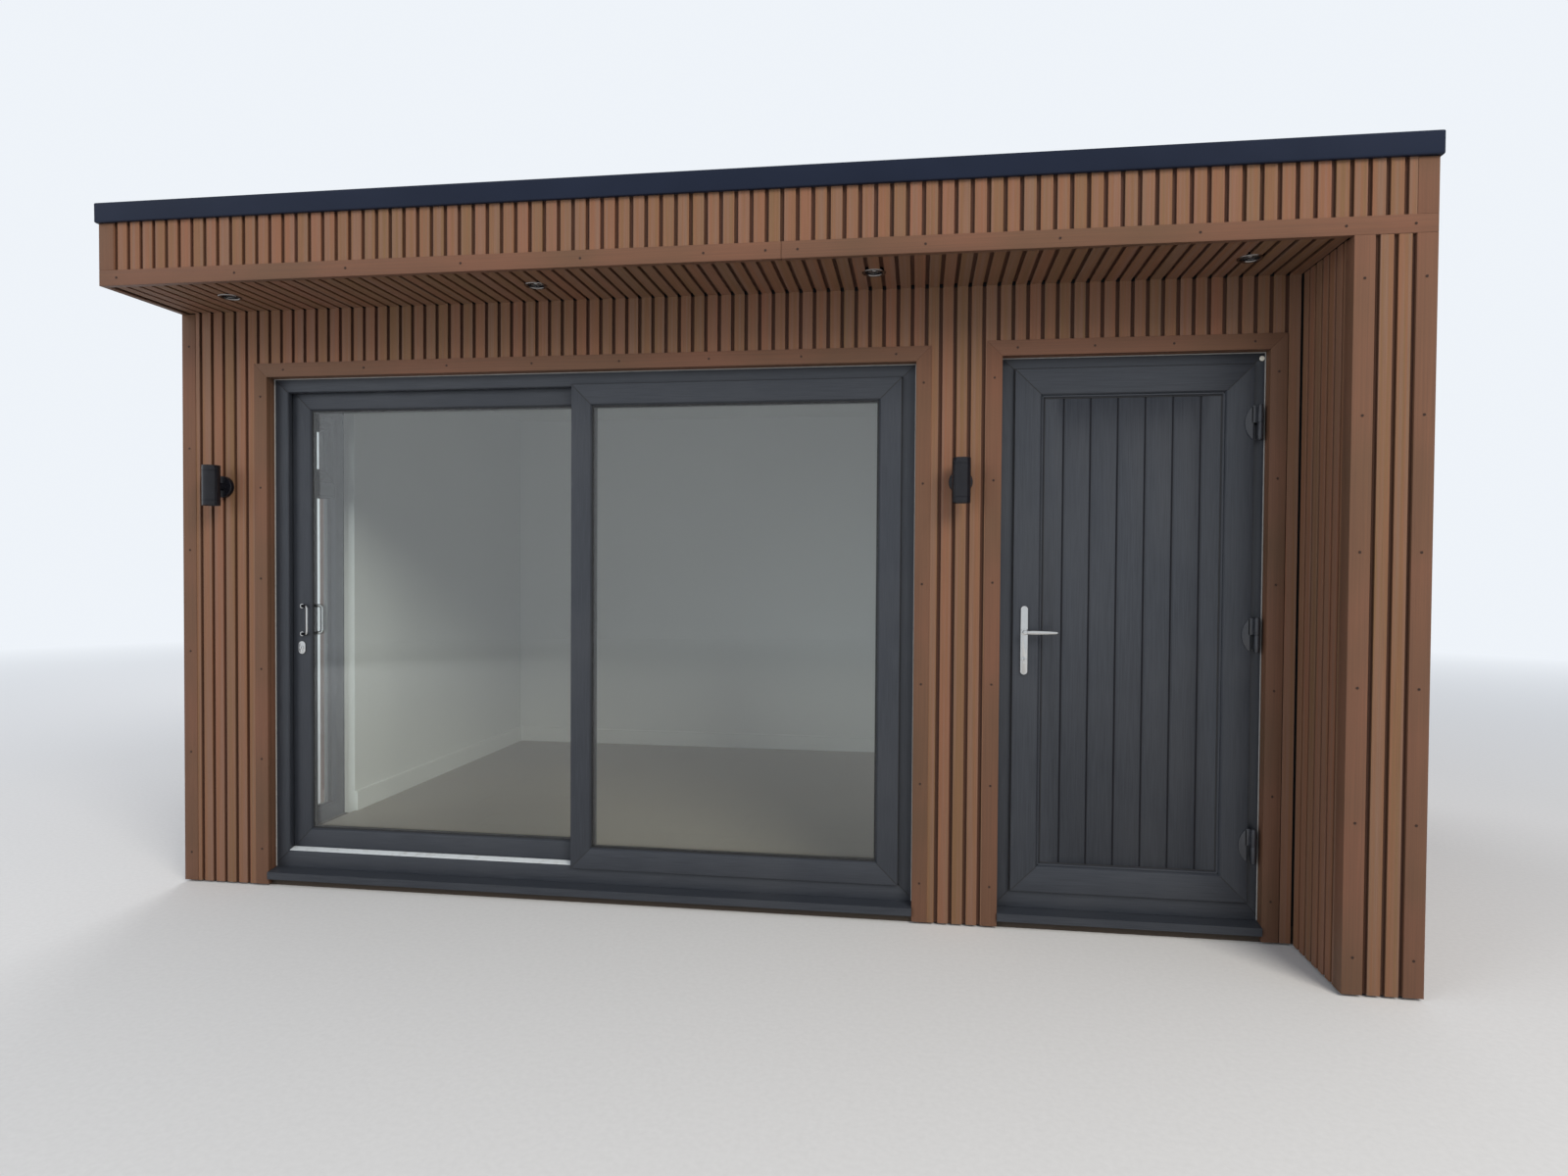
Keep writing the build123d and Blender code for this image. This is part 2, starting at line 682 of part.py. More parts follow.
# Store door leaf: a ring with a lip that laps the frame, open for its panel and
# bored for the lever spindle
panel_a = (leaf_x1 + leaf_face, leaf_foot + leaf_face)
panel_b = (leaf_x2 - leaf_face, leaf_top - leaf_face)
body_clear = leaf_lip + leaf_clear
panel_y = leaf_y + panel_setback
lever_x = leaf_x1 + lever_inset
with BuildPart() as store_leaf:
    with BuildSketch(front_plane(leaf_y)):
        rectangle_between((leaf_x1, leaf_foot), (leaf_x2, leaf_top))
        rectangle_between(panel_a, panel_b, Mode.SUBTRACT)
    extrude(amount=-leaf_lip_t)
    with BuildSketch(front_plane(leaf_y + leaf_lip_t)):
        rectangle_between(
            (leaf_x1 + body_clear, leaf_foot + body_clear), (leaf_x2 - body_clear, leaf_top - body_clear))
        rectangle_between(panel_a, panel_b, Mode.SUBTRACT)
    extrude(amount=leaf_lip_t - leaf_d)
    leaf_faces = store_leaf.faces().filter_by(Axis.Y).sort_by(Axis.Y)
    chamfer(leaf_faces[0].inner_wires()[0].edges(), bead_slope)
    with BuildSketch(front_plane(panel_y)):
        rectangle_between(
            (panel_a[0] - glass_bite, panel_a[1] - glass_bite),
            (panel_b[0] + glass_bite, panel_b[1] + glass_bite))
    extrude(amount=-panel_t, mode=Mode.SUBTRACT)
    with BuildSketch(front_plane(leaf_y)):
        with Locations((lever_x, lever_z)):
            Circle(spindle_r + pin_clearance)
    extrude(amount=-leaf_d, mode=Mode.SUBTRACT)
write_part("store_leaf", store_leaf.part)

# Moulded plank panel: upright planks parted by V grooves on both faces
panel_mid = (panel_a[0] + panel_b[0]) / 2
plank_grooves = int((panel_b[0] - panel_a[0]) / plank_pitch)
groove_x = [
    panel_mid + plank_pitch * (i - (plank_grooves - 1) / 2) for i in range(plank_grooves)
]
with BuildPart() as store_panel:
    with BuildSketch(Plane.XY.offset(panel_a[1] - glass_bite)):
        rectangle_between(
            (panel_a[0] - glass_bite, panel_y), (panel_b[0] + glass_bite, panel_y + panel_t))
        for x in groove_x:
            for y, side in ((panel_y, 1), (panel_y + panel_t, -1)):
                with BuildLine():
                    Polyline(
                        (x - groove_w / 2, y), (x, y + side * groove_depth),
                        (x + groove_w / 2, y), close=True)
                make_face(mode=Mode.SUBTRACT)
    extrude(amount=panel_b[1] - panel_a[1] + 2 * glass_bite)
write_part("store_panel", store_panel.part)

# Flag hinges: the frame's half carries the pin, the leaf's half turns on it
hinge_x = leaf_x2 + hinge_axis_out
hinge_y = leaf_y - hinge_axis_front
hinge_low_z = leaf_foot + hinge_end
hinge_step = (leaf_top - leaf_foot - 2 * hinge_end - hinge_h) / (hinge_count - 1)
hinge_z = [hinge_low_z + hinge_step * i for i in range(hinge_count)]
half_h = hinge_h / 2
frame_plate_x1 = leaf_x2 + leaf_clear
frame_plate_x2 = hinge_x + 2 * barrel_r
flag_x = leaf_x2 - leaf_clear

with BuildPart() as hinges_frame:
    for z in hinge_z:
        with BuildSketch(Plane.XY.offset(z)):
            with Locations((hinge_x, hinge_y)):
                Circle(barrel_r)
            rectangle_between((hinge_x - hinge_arm / 2, hinge_y), (hinge_x + hinge_arm / 2, y_frame))
            rectangle_between((frame_plate_x1, y_frame - hinge_plate_t), (frame_plate_x2, y_frame))
        extrude(amount=half_h - seat_gap)
        with BuildSketch(Plane.XY.offset(z)):
            with Locations((hinge_x, hinge_y)):
                Circle(hinge_pin_r)
        extrude(amount=hinge_h - pin_short)
write_part("hinges_frame", hinges_frame.part)

with BuildPart() as hinges_leaf:
    for z in hinge_z:
        with BuildSketch(front_plane(leaf_y)):
            with BuildLine():
                Line((flag_x, z + hinge_h), (flag_x, z))
                ThreePointArc((flag_x, z), (flag_x - hinge_flag_w, z + half_h), (flag_x, z + hinge_h))
            make_face()
        extrude(amount=hinge_plate_t)
        with BuildSketch(Plane.XY.offset(z + half_h)):
            with Locations((hinge_x, hinge_y)):
                Circle(barrel_r)
            rectangle_between((flag_x - hinge_plate_t, leaf_y - hinge_plate_t), (hinge_x, leaf_y))
            rectangle_between((hinge_x - barrel_r, hinge_y), (hinge_x, leaf_y))
            with Locations((hinge_x, hinge_y)):
                Circle(hinge_pin_r + pin_clearance, mode=Mode.SUBTRACT)
        extrude(amount=half_h)
write_part("hinges_leaf", hinges_leaf.part)

# Lever handles of the store door: plates on both faces, one turning spindle
plate_mid_z = lever_z - lever_plate_low + lever_plate_h / 2
leaf_back = leaf_y + leaf_d
with BuildPart() as lever_plates:
    for face_y, outward in ((leaf_y, -1), (leaf_back, 1)):
        with BuildSketch(front_plane(face_y)):
            with Locations((lever_x, plate_mid_z)):
                SlotOverall(lever_plate_h, lever_plate_w, rotation=90)
            with Locations((lever_x, lever_z)):
                Circle(spindle_r + pin_clearance, mode=Mode.SUBTRACT)
        extrude(amount=-outward * lever_plate_t)
        with BuildSketch(front_plane(face_y + outward * lever_plate_t)):
            with Locations((lever_x, lever_z - lever_cylinder_drop)):
                Circle(cylinder_r)
        extrude(amount=-outward * cylinder_proud)
write_part("lever_plates", lever_plates.part)

with BuildPart() as store_levers:
    with BuildSketch(front_plane(leaf_y - lever_plate_t - seat_gap)):
        with Locations((lever_x, lever_z)):
            Circle(spindle_r)
    extrude(amount=-(leaf_d + 2 * lever_plate_t + 2 * seat_gap))
    for face_y, outward in ((leaf_y, -1), (leaf_back, 1)):
        start_y = face_y + outward * (lever_plate_t + seat_gap)
        grip_y = face_y + outward * lever_neck
        with BuildSketch(front_plane(start_y)):
            with Locations((lever_x, lever_z)):
                Circle(lever_neck_r)
        extrude(amount=-outward * abs(grip_y - start_y))
        tip_t = lever_grip_t * lever_tip_share
        with BuildPart() as grip:
            with BuildSketch(Plane.XY.offset(lever_z - lever_grip_h / 2)):
                with BuildLine():
                    Polyline(
                        (lever_x - lever_neck_r, grip_y - lever_grip_t / 2),
                        (lever_x + lever_length, grip_y - tip_t / 2),
                        (lever_x + lever_length, grip_y + tip_t / 2),
                        (lever_x - lever_neck_r, grip_y + lever_grip_t / 2), close=True)
                make_face()
            extrude(amount=lever_grip_h)
            chamfer(grip.edges(), lever_bevel)
        add(grip.part)
write_part("store_levers", store_levers.part)

# Side window: frame with a transom, a top fanlight sash and two glass units
window_x = x_left + frame_setback
window_low = frame_bottom + window_face
window_high = slide_top - window_face
transom_top = window_high - fanlight_h
transom_z = transom_top - transom_h
with BuildPart() as window_frame:
    with BuildSketch(side_plane(window_x)):
        ring_between(
            (window_y1, frame_bottom), (window_y2, slide_top), window_face, window_face, window_face)
        rectangle_between((window_y1 + window_face, transom_z), (window_y2 - window_face, transom_top))
    extrude(amount=window_frame_d)
    with BuildSketch(side_plane(window_x + (window_frame_d - glass_t) / 2)):
        rectangle_between(
            (window_y1 + window_face - glass_bite, window_low - glass_bite),
            (window_y2 - window_face + glass_bite, transom_z + glass_bite))
    extrude(amount=glass_t, mode=Mode.SUBTRACT)
write_part("window_frame", window_frame.part)

fan_a = (window_y1 + window_face, transom_top)
fan_b = (window_y2 - window_face, window_high)
fan_x = window_x + (window_frame_d - fanlight_t) / 2
with BuildPart() as fanlight:
    with BuildSketch(side_plane(fan_x)):
        ring_between(fan_a, fan_b, fanlight_face, fanlight_face, fanlight_face)
    extrude(amount=fanlight_t)
    with BuildSketch(side_plane(fan_x + (fanlight_t - glass_t) / 2)):
        rectangle_between(
            (fan_a[0] + fanlight_face - glass_bite, fan_a[1] + fanlight_face - glass_bite),
            (fan_b[0] - fanlight_face + glass_bite, fan_b[1] - fanlight_face + glass_bite))
    extrude(amount=glass_t, mode=Mode.SUBTRACT)
write_part("fanlight", fanlight.part)

with BuildPart() as window_glass:
    with BuildSketch(side_plane(window_x + (window_frame_d - glass_t) / 2)):
        rectangle_between(
            (window_y1 + window_face - glass_bite, window_low - glass_bite),
            (window_y2 - window_face + glass_bite, transom_z + glass_bite))
        rectangle_between(
            (fan_a[0] + fanlight_face - glass_bite, fan_a[1] + fanlight_face - glass_bite),
            (fan_b[0] - fanlight_face + glass_bite, fan_b[1] - fanlight_face + glass_bite))
    extrude(amount=glass_t)
write_part("window_glass", window_glass.part)

# Wall lights: up and down cylinders on round bases
wall_light_x = (x_left + left_light_in, slide_x2 + middle_light_in)
with BuildPart() as wall_lights:
    for x in wall_light_x:
        with BuildSketch(front_plane(y_front)):
            with Locations((x, wall_light_z)):
                Circle(wall_light_base_r)
        extrude(amount=wall_light_base_t)
        with BuildSketch(front_plane(y_front - wall_light_base_t)):
            with Locations((x, wall_light_z)):
                Circle(wall_light_stem_r)
        extrude(amount=wall_light_out - wall_light_base_t)
        with BuildSketch(Plane.XY.offset(wall_light_z - wall_light_h / 2)):
            with Locations((x, y_front - wall_light_out)):
                Circle(wall_light_r)
        extrude(amount=wall_light_h)
        for end, way in ((wall_light_z - wall_light_h / 2, 1), (wall_light_z + wall_light_h / 2, -1)):
            with BuildSketch(Plane.XY.offset(end)):
                with Locations((x, y_front - wall_light_out)):
                    Circle(wall_light_r - wall_light_shell)
            extrude(amount=way * wall_light_recess, mode=Mode.SUBTRACT)
write_part("wall_lights", wall_lights.part)

# Recessed soffit lights: a can in the bored soffit with a thin rim below
with BuildPart() as soffit_lights:
    with BuildSketch(Plane.XY.offset(soffit_z - soffit_light_t)):
        with Locations(*soffit_lights_at):
            Circle(soffit_light_r)
    extrude(amount=soffit_light_t)
    with BuildSketch(Plane.XY.offset(soffit_z)):
        with Locations(*soffit_lights_at):
            Circle(soffit_can_r)
    extrude(amount=cladding_t)
    with BuildSketch(Plane.XY.offset(soffit_z - soffit_light_t)):
        with Locations(*soffit_lights_at):
            Circle(soffit_can_r - soffit_light_lip)
    extrude(amount=soffit_light_recess, mode=Mode.SUBTRACT)
write_part("soffit_lights", soffit_lights.part)
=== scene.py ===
import math
import bmesh
import bpy
from mathutils import Matrix, Vector


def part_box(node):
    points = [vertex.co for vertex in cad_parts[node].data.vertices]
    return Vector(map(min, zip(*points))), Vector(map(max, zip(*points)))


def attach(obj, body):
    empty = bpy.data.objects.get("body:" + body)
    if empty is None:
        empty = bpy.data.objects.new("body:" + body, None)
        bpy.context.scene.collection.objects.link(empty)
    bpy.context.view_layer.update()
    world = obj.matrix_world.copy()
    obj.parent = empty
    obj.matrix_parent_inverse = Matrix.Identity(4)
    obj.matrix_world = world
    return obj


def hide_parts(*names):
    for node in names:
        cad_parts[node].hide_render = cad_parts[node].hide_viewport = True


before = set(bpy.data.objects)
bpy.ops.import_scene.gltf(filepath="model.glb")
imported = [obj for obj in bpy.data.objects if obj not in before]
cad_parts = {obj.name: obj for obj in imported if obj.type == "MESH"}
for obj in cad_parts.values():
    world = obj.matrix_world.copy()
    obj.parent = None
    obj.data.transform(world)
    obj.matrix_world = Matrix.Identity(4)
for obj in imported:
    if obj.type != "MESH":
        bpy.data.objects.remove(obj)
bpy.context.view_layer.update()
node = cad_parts


# Viewpoint: in front of the pod, right of the middle of the sliding door and at
# chest height, turned a little to the left. The turn, nod and lean are in degrees.
camera_place = (0.7082, -4.7061, 1.2689)
camera_turn = 8.115
camera_nod = -1.11
camera_lean = -0.373
camera_lens = 21.66
bpy.ops.object.camera_add(location=camera_place)
camera = bpy.context.object
aim = Matrix.Rotation(math.radians(camera_turn), 3, "Z")
aim = aim @ Matrix.Rotation(math.radians(camera_nod), 3, "X")
aim = aim @ Matrix.Rotation(math.radians(camera_lean), 3, "Y")
camera.rotation_euler = (aim @ Matrix.Rotation(math.radians(90), 3, "X")).to_euler()
camera.data.sensor_width = 36
camera.data.lens = camera_lens
bpy.context.scene.camera = camera


# Studio: a pale floor and sky with large soft lamps. The sky looks paler to the
# eye and in glass than it shines, so that colours render as they are written.
class Wire:
    """A socket in a finish. Plus, minus, times and divide on it add Math nodes."""

    def __init__(self, tree, socket=None):
        self.tree = tree
        self.socket = socket

    def node(self, kind, settings=None, sockets=None, output=0):
        """Adds a node: its settings first, then the values or links it takes in."""
        made = self.tree.nodes.new("ShaderNode" + kind)
        for name, value in (settings or {}).items():
            setattr(made, name, value)
        for name, value in (sockets or {}).items():
            if isinstance(value, Wire):
                self.tree.links.new(value.socket, made.inputs[name])
            else:
                made.inputs[name].default_value = value
        if isinstance(output, tuple):
            return [Wire(self.tree, made.outputs[i]) for i in output]
        return Wire(self.tree, made.outputs[output])

    def math(self, operation, first, second=0.0):
        return self.node("Math", {"operation": operation}, {0: first, 1: second})

    def __add__(self, other):
        return self.math("ADD", self, other)

    def __radd__(self, other):
        return self.math("ADD", other, self)

    def __sub__(self, other):
        return self.math("SUBTRACT", self, other)

    def __rsub__(self, other):
        return self.math("SUBTRACT", other, self)

    def __mul__(self, other):
        return self.math("MULTIPLY", self, other)

    def __rmul__(self, other):
        return self.math("MULTIPLY", other, self)

    def __truediv__(self, other):
        return self.math("DIVIDE", self, other)

    def __rtruediv__(self, other):
        return self.math("DIVIDE", other, self)


def between(factor, first, second):
    """Colour from the first to the second as the factor goes from 0 to 1."""
    first, second = [c if isinstance(c, Wire) else (*c, 1) for c in (first, second)]
    return factor.node("Mix", {"data_type": "RGBA"}, {0: factor, 6: first, 7: second}, 2)


def ramp(value, start, end, low=0.0, high=1.0):
    """Goes from low to high while the value goes from start to end."""
    return value.node("MapRange", None, {0: value, 1: start, 2: end, 3: low, 4: high})


def noise(place, scale, detail):
    return place.node("TexNoise", None, {"Vector": place, "Scale": scale, "Detail": detail})


def start_finish(name):
    """New material, the place in its piece as a wire, and its shader."""
    material = bpy.data.materials.new(name)
    material.use_nodes = True
    place = Wire(material.node_tree).node("TexCoord", output=3)
    return material, place, material.node_tree.nodes["Principled BSDF"]


def cover(shader, colour, rough, relief=None, strength=0.0, depth=0.0):
    """Links a colour, a roughness and, where there is one, a relief to a shader."""
    colour.tree.links.new(colour.socket, shader.inputs["Base Color"])
    rough.tree.links.new(rough.socket, shader.inputs["Roughness"])
    if relief:
        bump = relief.node("Bump", None, {"Strength": strength, "Distance": depth, "Height": relief})
        bump.tree.links.new(bump.socket, shader.inputs["Normal"])


def show_through(material, factor, other):
    """Shows another shader in place of the finish where the factor is 1."""
    mixed = factor.node("MixShader", None, {0: factor, 2: other})
    tree = material.node_tree
    tree.links.new(tree.nodes["Principled BSDF"].outputs[0], mixed.socket.node.inputs[1])
    tree.links.new(mixed.socket, tree.nodes["Material Output"].inputs[0])


sky_light = 0.62
pale_sky = (0.86, 0.90, 0.95, 1)
world = bpy.data.worlds.new("studio")
world.use_nodes = True
bpy.context.scene.world = world
sky = Wire(world.node_tree)
seen, mirrored, through = sky.node("LightPath", output=(0, 3, 6))
shown = sky.math("MAXIMUM", seen, sky.math("MAXIMUM", mirrored, through))
glow = sky.node("Background", None, {0: (0.80, 0.87, 1.0, 1), 1: sky_light})
face = sky.node("Background", None, {0: pale_sky, 1: 1.0})
both = sky.node("MixShader", None, {0: shown, 1: glow, 2: face})
world.node_tree.links.new(both.socket, world.node_tree.nodes["World Output"].inputs[0])
bpy.context.scene.view_settings.view_transform = "Standard"


def lamp(name, place, aim_at, size, power, colour):
    """Square soft lamp that shines at a point."""
    bpy.ops.object.light_add(type="AREA", location=place)
    made = bpy.context.object
    made.name = name
    made.data.shape = "SQUARE"
    made.data.size = size
    made.data.energy = power
    made.data.color = colour
    made.rotation_euler = (Vector(aim_at) - Vector(place)).to_track_quat("-Z", "Y").to_euler()
    made.visible_camera = False
    made.visible_glossy = False
    made.visible_transmission = False


lamp("key_lamp", (5.5, -8.5, 7.0), (0, 0, 1.0), 4.5, 900, (1.0, 0.95, 0.88))
lamp("fill_lamp", (-7.0, -8.0, 3.5), (0, -1, 1.0), 5.0, 350, (0.92, 0.96, 1.0))
lamp("back_lamp", (-4.0, 8.0, 6.5), (0, 0, 1.2), 5.0, 500, (0.98, 0.98, 1.0))

floor_size = 120
floor_rough = 0.9
haze_start, haze_end = 4.5, 15.0
bpy.ops.object.select_all(action="DESELECT")
bpy.ops.mesh.primitive_plane_add(size=floor_size, location=(0, 0, 0))
floor = bpy.context.object
floor.name = "studio_floor"
studio_floor, place, shader = start_finish("studio_floor")
speckle = noise(place, 60.0, 4.0)
colour = between(speckle, (0.60, 0.59, 0.57), (0.68, 0.67, 0.65))
studio_floor.node_tree.links.new(colour.socket, shader.inputs["Base Color"])
shader.inputs["Roughness"].default_value = floor_rough
far = place.node("VectorMath", {"operation": "LENGTH"}, {0: place}, 1)
horizon = place.node("Emission", None, {0: pale_sky, 1: 1.0})
show_through(studio_floor, ramp(far, haze_start, haze_end), horizon)
floor.data.materials.append(studio_floor)


# Cladding: wood-composite boards 200 mm wide, each extruded with four square
# ribs, set upright on battens so that their grooves run on from board to board.
slat_pitch = 0.050
rib_w = 0.037
rib_proud = 0.011
rib_round = 0.0012
board_w = 0.200
board_ribs = 4
board_back = 0.0205
board_gap = 0.0004
composite_gloss = 0.28
near = 1e-5


def only(piece):
    """Selects one piece alone."""
    bpy.ops.object.select_all(action="DESELECT")
    piece.select_set(True)
    bpy.context.view_layer.objects.active = piece


def settle(piece, place=None, turn=None):
    """Sets a piece in place and puts its place, turn and size into its mesh."""
    if place:
        piece.location = place
    if turn:
        piece.rotation_euler = turn
    only(piece)
    bpy.ops.object.transform_apply(location=True, rotation=True, scale=True)


def open_mesh(piece):
    """Into edit mode on one piece alone, with nothing selected."""
    only(piece)
    bpy.ops.object.mode_set(mode="EDIT")
    bpy.ops.mesh.select_all(action="DESELECT")


def close_mesh(turn_out=False):
    """Back to object mode. turn_out makes all faces point outwards first."""
    if turn_out:
        bpy.ops.mesh.select_all(action="SELECT")
        bpy.ops.mesh.normals_make_consistent(inside=False)
    bpy.ops.object.mode_set(mode="OBJECT")


def pick(piece, kind, test):
    """In edit mode, selects the verts, edges or faces whose middle passes a test.
    The test is given the middle and the face's normal or the edge's direction."""
    bpy.ops.mesh.select_mode(type={"verts": "VERT", "edges": "EDGE", "faces": "FACE"}[kind])
    bpy.ops.mesh.select_all(action="DESELECT")
    mesh = bmesh.from_edit_mesh(piece.data)
    for part in getattr(mesh, kind):
        if kind == "verts":
            middle, way = part.co, part.normal
        elif kind == "edges":
            middle = (part.verts[0].co + part.verts[1].co) / 2
            way = (part.verts[1].co - part.verts[0].co).normalized()
        else:
            middle, way = part.calc_center_median(), part.normal
        if test(middle, way):
            part.select_set(True)
    mesh.select_flush_mode()
    bmesh.update_edit_mesh(piece.data)


def push(x, y, z):
    """Extrudes what is selected by a distance."""
    bpy.ops.mesh.extrude_region_move(TRANSFORM_OT_translate={"value": (x, y, z)})


def score(point, way):
    """Cuts new edges into the open mesh where a plane meets it."""
    bpy.ops.mesh.select_all(action="SELECT")
    bpy.ops.mesh.bisect(plane_co=point, plane_no=way)


def cut(piece, point, away):
    """Saws off what lies beyond a point, on the side that away points to."""
    open_mesh(piece)
    bpy.ops.mesh.select_all(action="SELECT")
    bpy.ops.mesh.bisect(plane_co=point, plane_no=away, use_fill=True, clear_outer=True)
    close_mesh()


def join(name, pieces):
    """Makes one piece of several."""
    bpy.ops.object.select_all(action="DESELECT")
    for piece in pieces:
        piece.select_set(True)
    bpy.context.view_layer.objects.active = pieces[0]
    if len(pieces) > 1:
        bpy.ops.object.join()
    pieces[0].name = name
    return pieces[0]


def copy_of(piece, place):
    """Copy with its own mesh at a place."""
    made = piece.copy()
    made.data = piece.data.copy()
    made.location = place
    bpy.context.scene.collection.objects.link(made)
    return made


def paint(piece, material):
    """Gives a piece one finish."""
    piece.data.materials.clear()
    piece.data.materials.append(material)
    return piece


def rod(name, place, radius, length, segments=48, turn=(0, 0, 0)):
    """Round bar about its middle, upright unless turned."""
    bpy.ops.object.select_all(action="DESELECT")
    bpy.ops.mesh.primitive_cylinder_add(vertices=segments, radius=radius, depth=length,
                                        location=place, rotation=turn)
    piece = bpy.context.object
    piece.name = name
    settle(piece)
    return piece


def fit(piece, cad_node=None, body="building"):
    """Hides the plain node that a finished piece stands for and gives the piece its body."""
    if cad_node:
        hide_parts(cad_node)
    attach(piece, body)


# the board's section, extruded to one metre
bpy.ops.object.select_all(action="DESELECT")
bpy.ops.mesh.primitive_plane_add(size=1, location=(board_w / 2, (rib_proud + board_back) / 2, 0))
board = bpy.context.object
board.name = "cladding_board"
board.scale = (board_w - 2 * board_gap, board_back - rib_proud, 1)
settle(board)
rib_middles = [slat_pitch * (i + 0.5) for i in range(board_ribs)]
open_mesh(board)
for middle in rib_middles:
    for edge_x in (middle - rib_w / 2, middle + rib_w / 2):
        score((edge_x, 0, 0), (1, 0, 0))
pick(board, "edges", lambda c, way: abs(c.y - rib_proud) < near
     and any(abs(c.x - middle) < 1e-4 for middle in rib_middles))
push(0, -rib_proud, 0)
pick(board, "verts", lambda c, way: c.y < near)
bpy.ops.mesh.bevel(offset=rib_round, segments=2, affect="VERTICES")
bpy.ops.mesh.select_all(action="SELECT")
push(0, 0, 1)
close_mesh(turn_out=True)


def lay_boards(x1, x2, z1, z2, joint):
    """Boards side by side from x1 to x2 with their faces at y = 0, counted from a
    joint between two boards and sawn off where the wall ends."""
    laid = []
    for i in range(math.floor((x1 - joint) / board_w), math.ceil((x2 - joint) / board_w)):
        made = copy_of(board, (joint + i * board_w, 0, z1))
        made.scale = (1, 1, z2 - z1)
        laid.append(made)
    wall = join("boards", laid)
    settle(wall)
    cut(wall, (x1, 0, 0), (-1, 0, 0))
    cut(wall, (x2, 0, 0), (1, 0, 0))
    return wall


def toss(number):
    """Another value by chance for each whole number."""
    return number.node("TexWhiteNoise", {"noise_dimensions": "1D"}, {"W": number})


def join_axes(x, y, z):
    return x.node("CombineXYZ", None, {0: x, 1: y, 2: z})


olive_brown = (0.164, 0.089, 0.043)
red_brown = (0.208, 0.090, 0.051)
grey_brown = (0.185, 0.112, 0.082)
# painted shade: colour for the depths of the grooves
painted_groove_shade = (0.034, 0.010, 0.007)
grain_dark = (0.05, 0.026, 0.018)


def slat_finish(name, across, along, face_at, inward, rib_edge):
    """Brown wood composite with its grain along the ribs. across and along are
    axes, face_at is where the ribs' faces are on the third, and rib_edge is the
    middle of one groove."""
    material, place, shader = start_finish(name)
    shader.inputs["Specular IOR Level"].default_value = composite_gloss
    axes = place.node("SeparateXYZ", None, {0: place}, (0, 1, 2))
    side, length, depth = axes[across], axes[along], axes[3 - across - along]
    sunk = (depth - face_at) * inward
    rib = place.math("FLOOR", (side - rib_edge) / slat_pitch)
    patch = noise(join_axes(rib * 7.31, length * 1.6, 0.0), 1.0, 2.0)
    fine = noise(join_axes(side * 700.0, length * 5.0, depth * 700.0), 1.0, 3.0)
    streak = noise(join_axes(side * 150.0, length * 1.2, depth * 60.0), 1.0, 3.0)
    vein = noise(join_axes(side * 110.0 + 40.0, length * 0.9, depth * 60.0), 1.0, 2.0)
    warm = ramp(toss(rib) * 0.26 + patch * 0.35 + streak * 0.8, 0.50, 0.92)
    colour = between(warm, olive_brown, red_brown)
    colour = between(ramp(vein, 0.42, 0.66) * 0.55, colour, grey_brown)
    colour = between(ramp(fine, 0.25, 0.70, 0.30, 0.0), colour, grain_dark)
    # painted shade: the grooves get darker with depth, standing for the shade that falls in them
    colour = between(ramp(sunk, 0.0008, 0.0085, 0.0, 0.66), colour, painted_groove_shade)
    cover(shader, colour, 0.55 + fine * 0.25, fine + streak * 0.6, 0.5, 0.0006)
    return material


left_x, right_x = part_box("cladding_left")[0].x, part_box("cladding_right")[1].x
front_y, back_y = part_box("cladding_front")[0].y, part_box("cladding_back")[1].y
fascia_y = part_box("cladding_fascia")[0].y
skirt_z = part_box("cladding_front")[0].z
soffit_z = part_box("soffit")[0].z
roof_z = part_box("cladding_back")[1].z
fascia_low_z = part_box("cladding_fascia")[0].z
fascia_trim_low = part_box("fascia_trim")[0].z
corner_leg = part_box("cladding_front")[0].x - left_x
wall_joint = -0.1715
fascia_joint = 0.0145
wing_joint = 0.039
side_joint = 0.014
facing_front = (0, 0, 0)
facing_left = (0, 0, math.radians(-90))
facing_right = (0, 0, math.radians(90))
facing_back = (0, 0, math.radians(180))
facing_down = (math.radians(90), 0, 0)


def clad(name, cad_node, place, turn, inward, joint, runs):
    """Boards over one wall, laid facing the front and then turned to their side.
    A run is where a part of the wall starts and ends, across and up."""
    wall = join(name, [lay_boards(*run, joint) for run in runs])
    settle(wall, place, turn)
    across = 1 if turn in (facing_left, facing_right) else 0
    along = 1 if turn == facing_down else 2
    rib_edge = -joint if turn in (facing_left, facing_back) else joint
    finish = slat_finish(name.replace("boards", "composite"), across, along,
                         place[3 - across - along], inward, rib_edge)
    fit(paint(wall, finish), cad_node)
    return wall


slide_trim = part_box("slide_architrave")
store_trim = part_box("store_architrave")
window_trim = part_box("window_architrave")
low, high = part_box("cladding_front")
clad("front_boards", "cladding_front", (0, front_y, 0), facing_front, 1, wall_joint, [
    (low.x, slide_trim[0].x, skirt_z, soffit_z),
    (slide_trim[0].x, slide_trim[1].x, slide_trim[1].z, soffit_z),
    (slide_trim[1].x, store_trim[0].x, skirt_z, soffit_z),
    (store_trim[0].x, store_trim[1].x, store_trim[1].z, soffit_z),
    (store_trim[1].x, high.x, skirt_z, soffit_z),
])
low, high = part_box("cladding_left")
canopy_start = -front_y - corner_leg
clad("left_boards", "cladding_left", (left_x, 0, 0), facing_left, 1, side_joint, [
    (-high.y, -window_trim[1].y, skirt_z, roof_z),
    (-window_trim[1].y, -window_trim[0].y, window_trim[1].z, roof_z),
    (-window_trim[0].y, canopy_start, skirt_z, roof_z),
    (canopy_start, -low.y, fascia_low_z, roof_z),
])
low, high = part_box("cladding_right")
clad("right_boards", "cladding_right", (right_x, 0, 0), facing_right, -1, side_joint,
     [(low.y, high.y, skirt_z, roof_z)])
low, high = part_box("cladding_back")
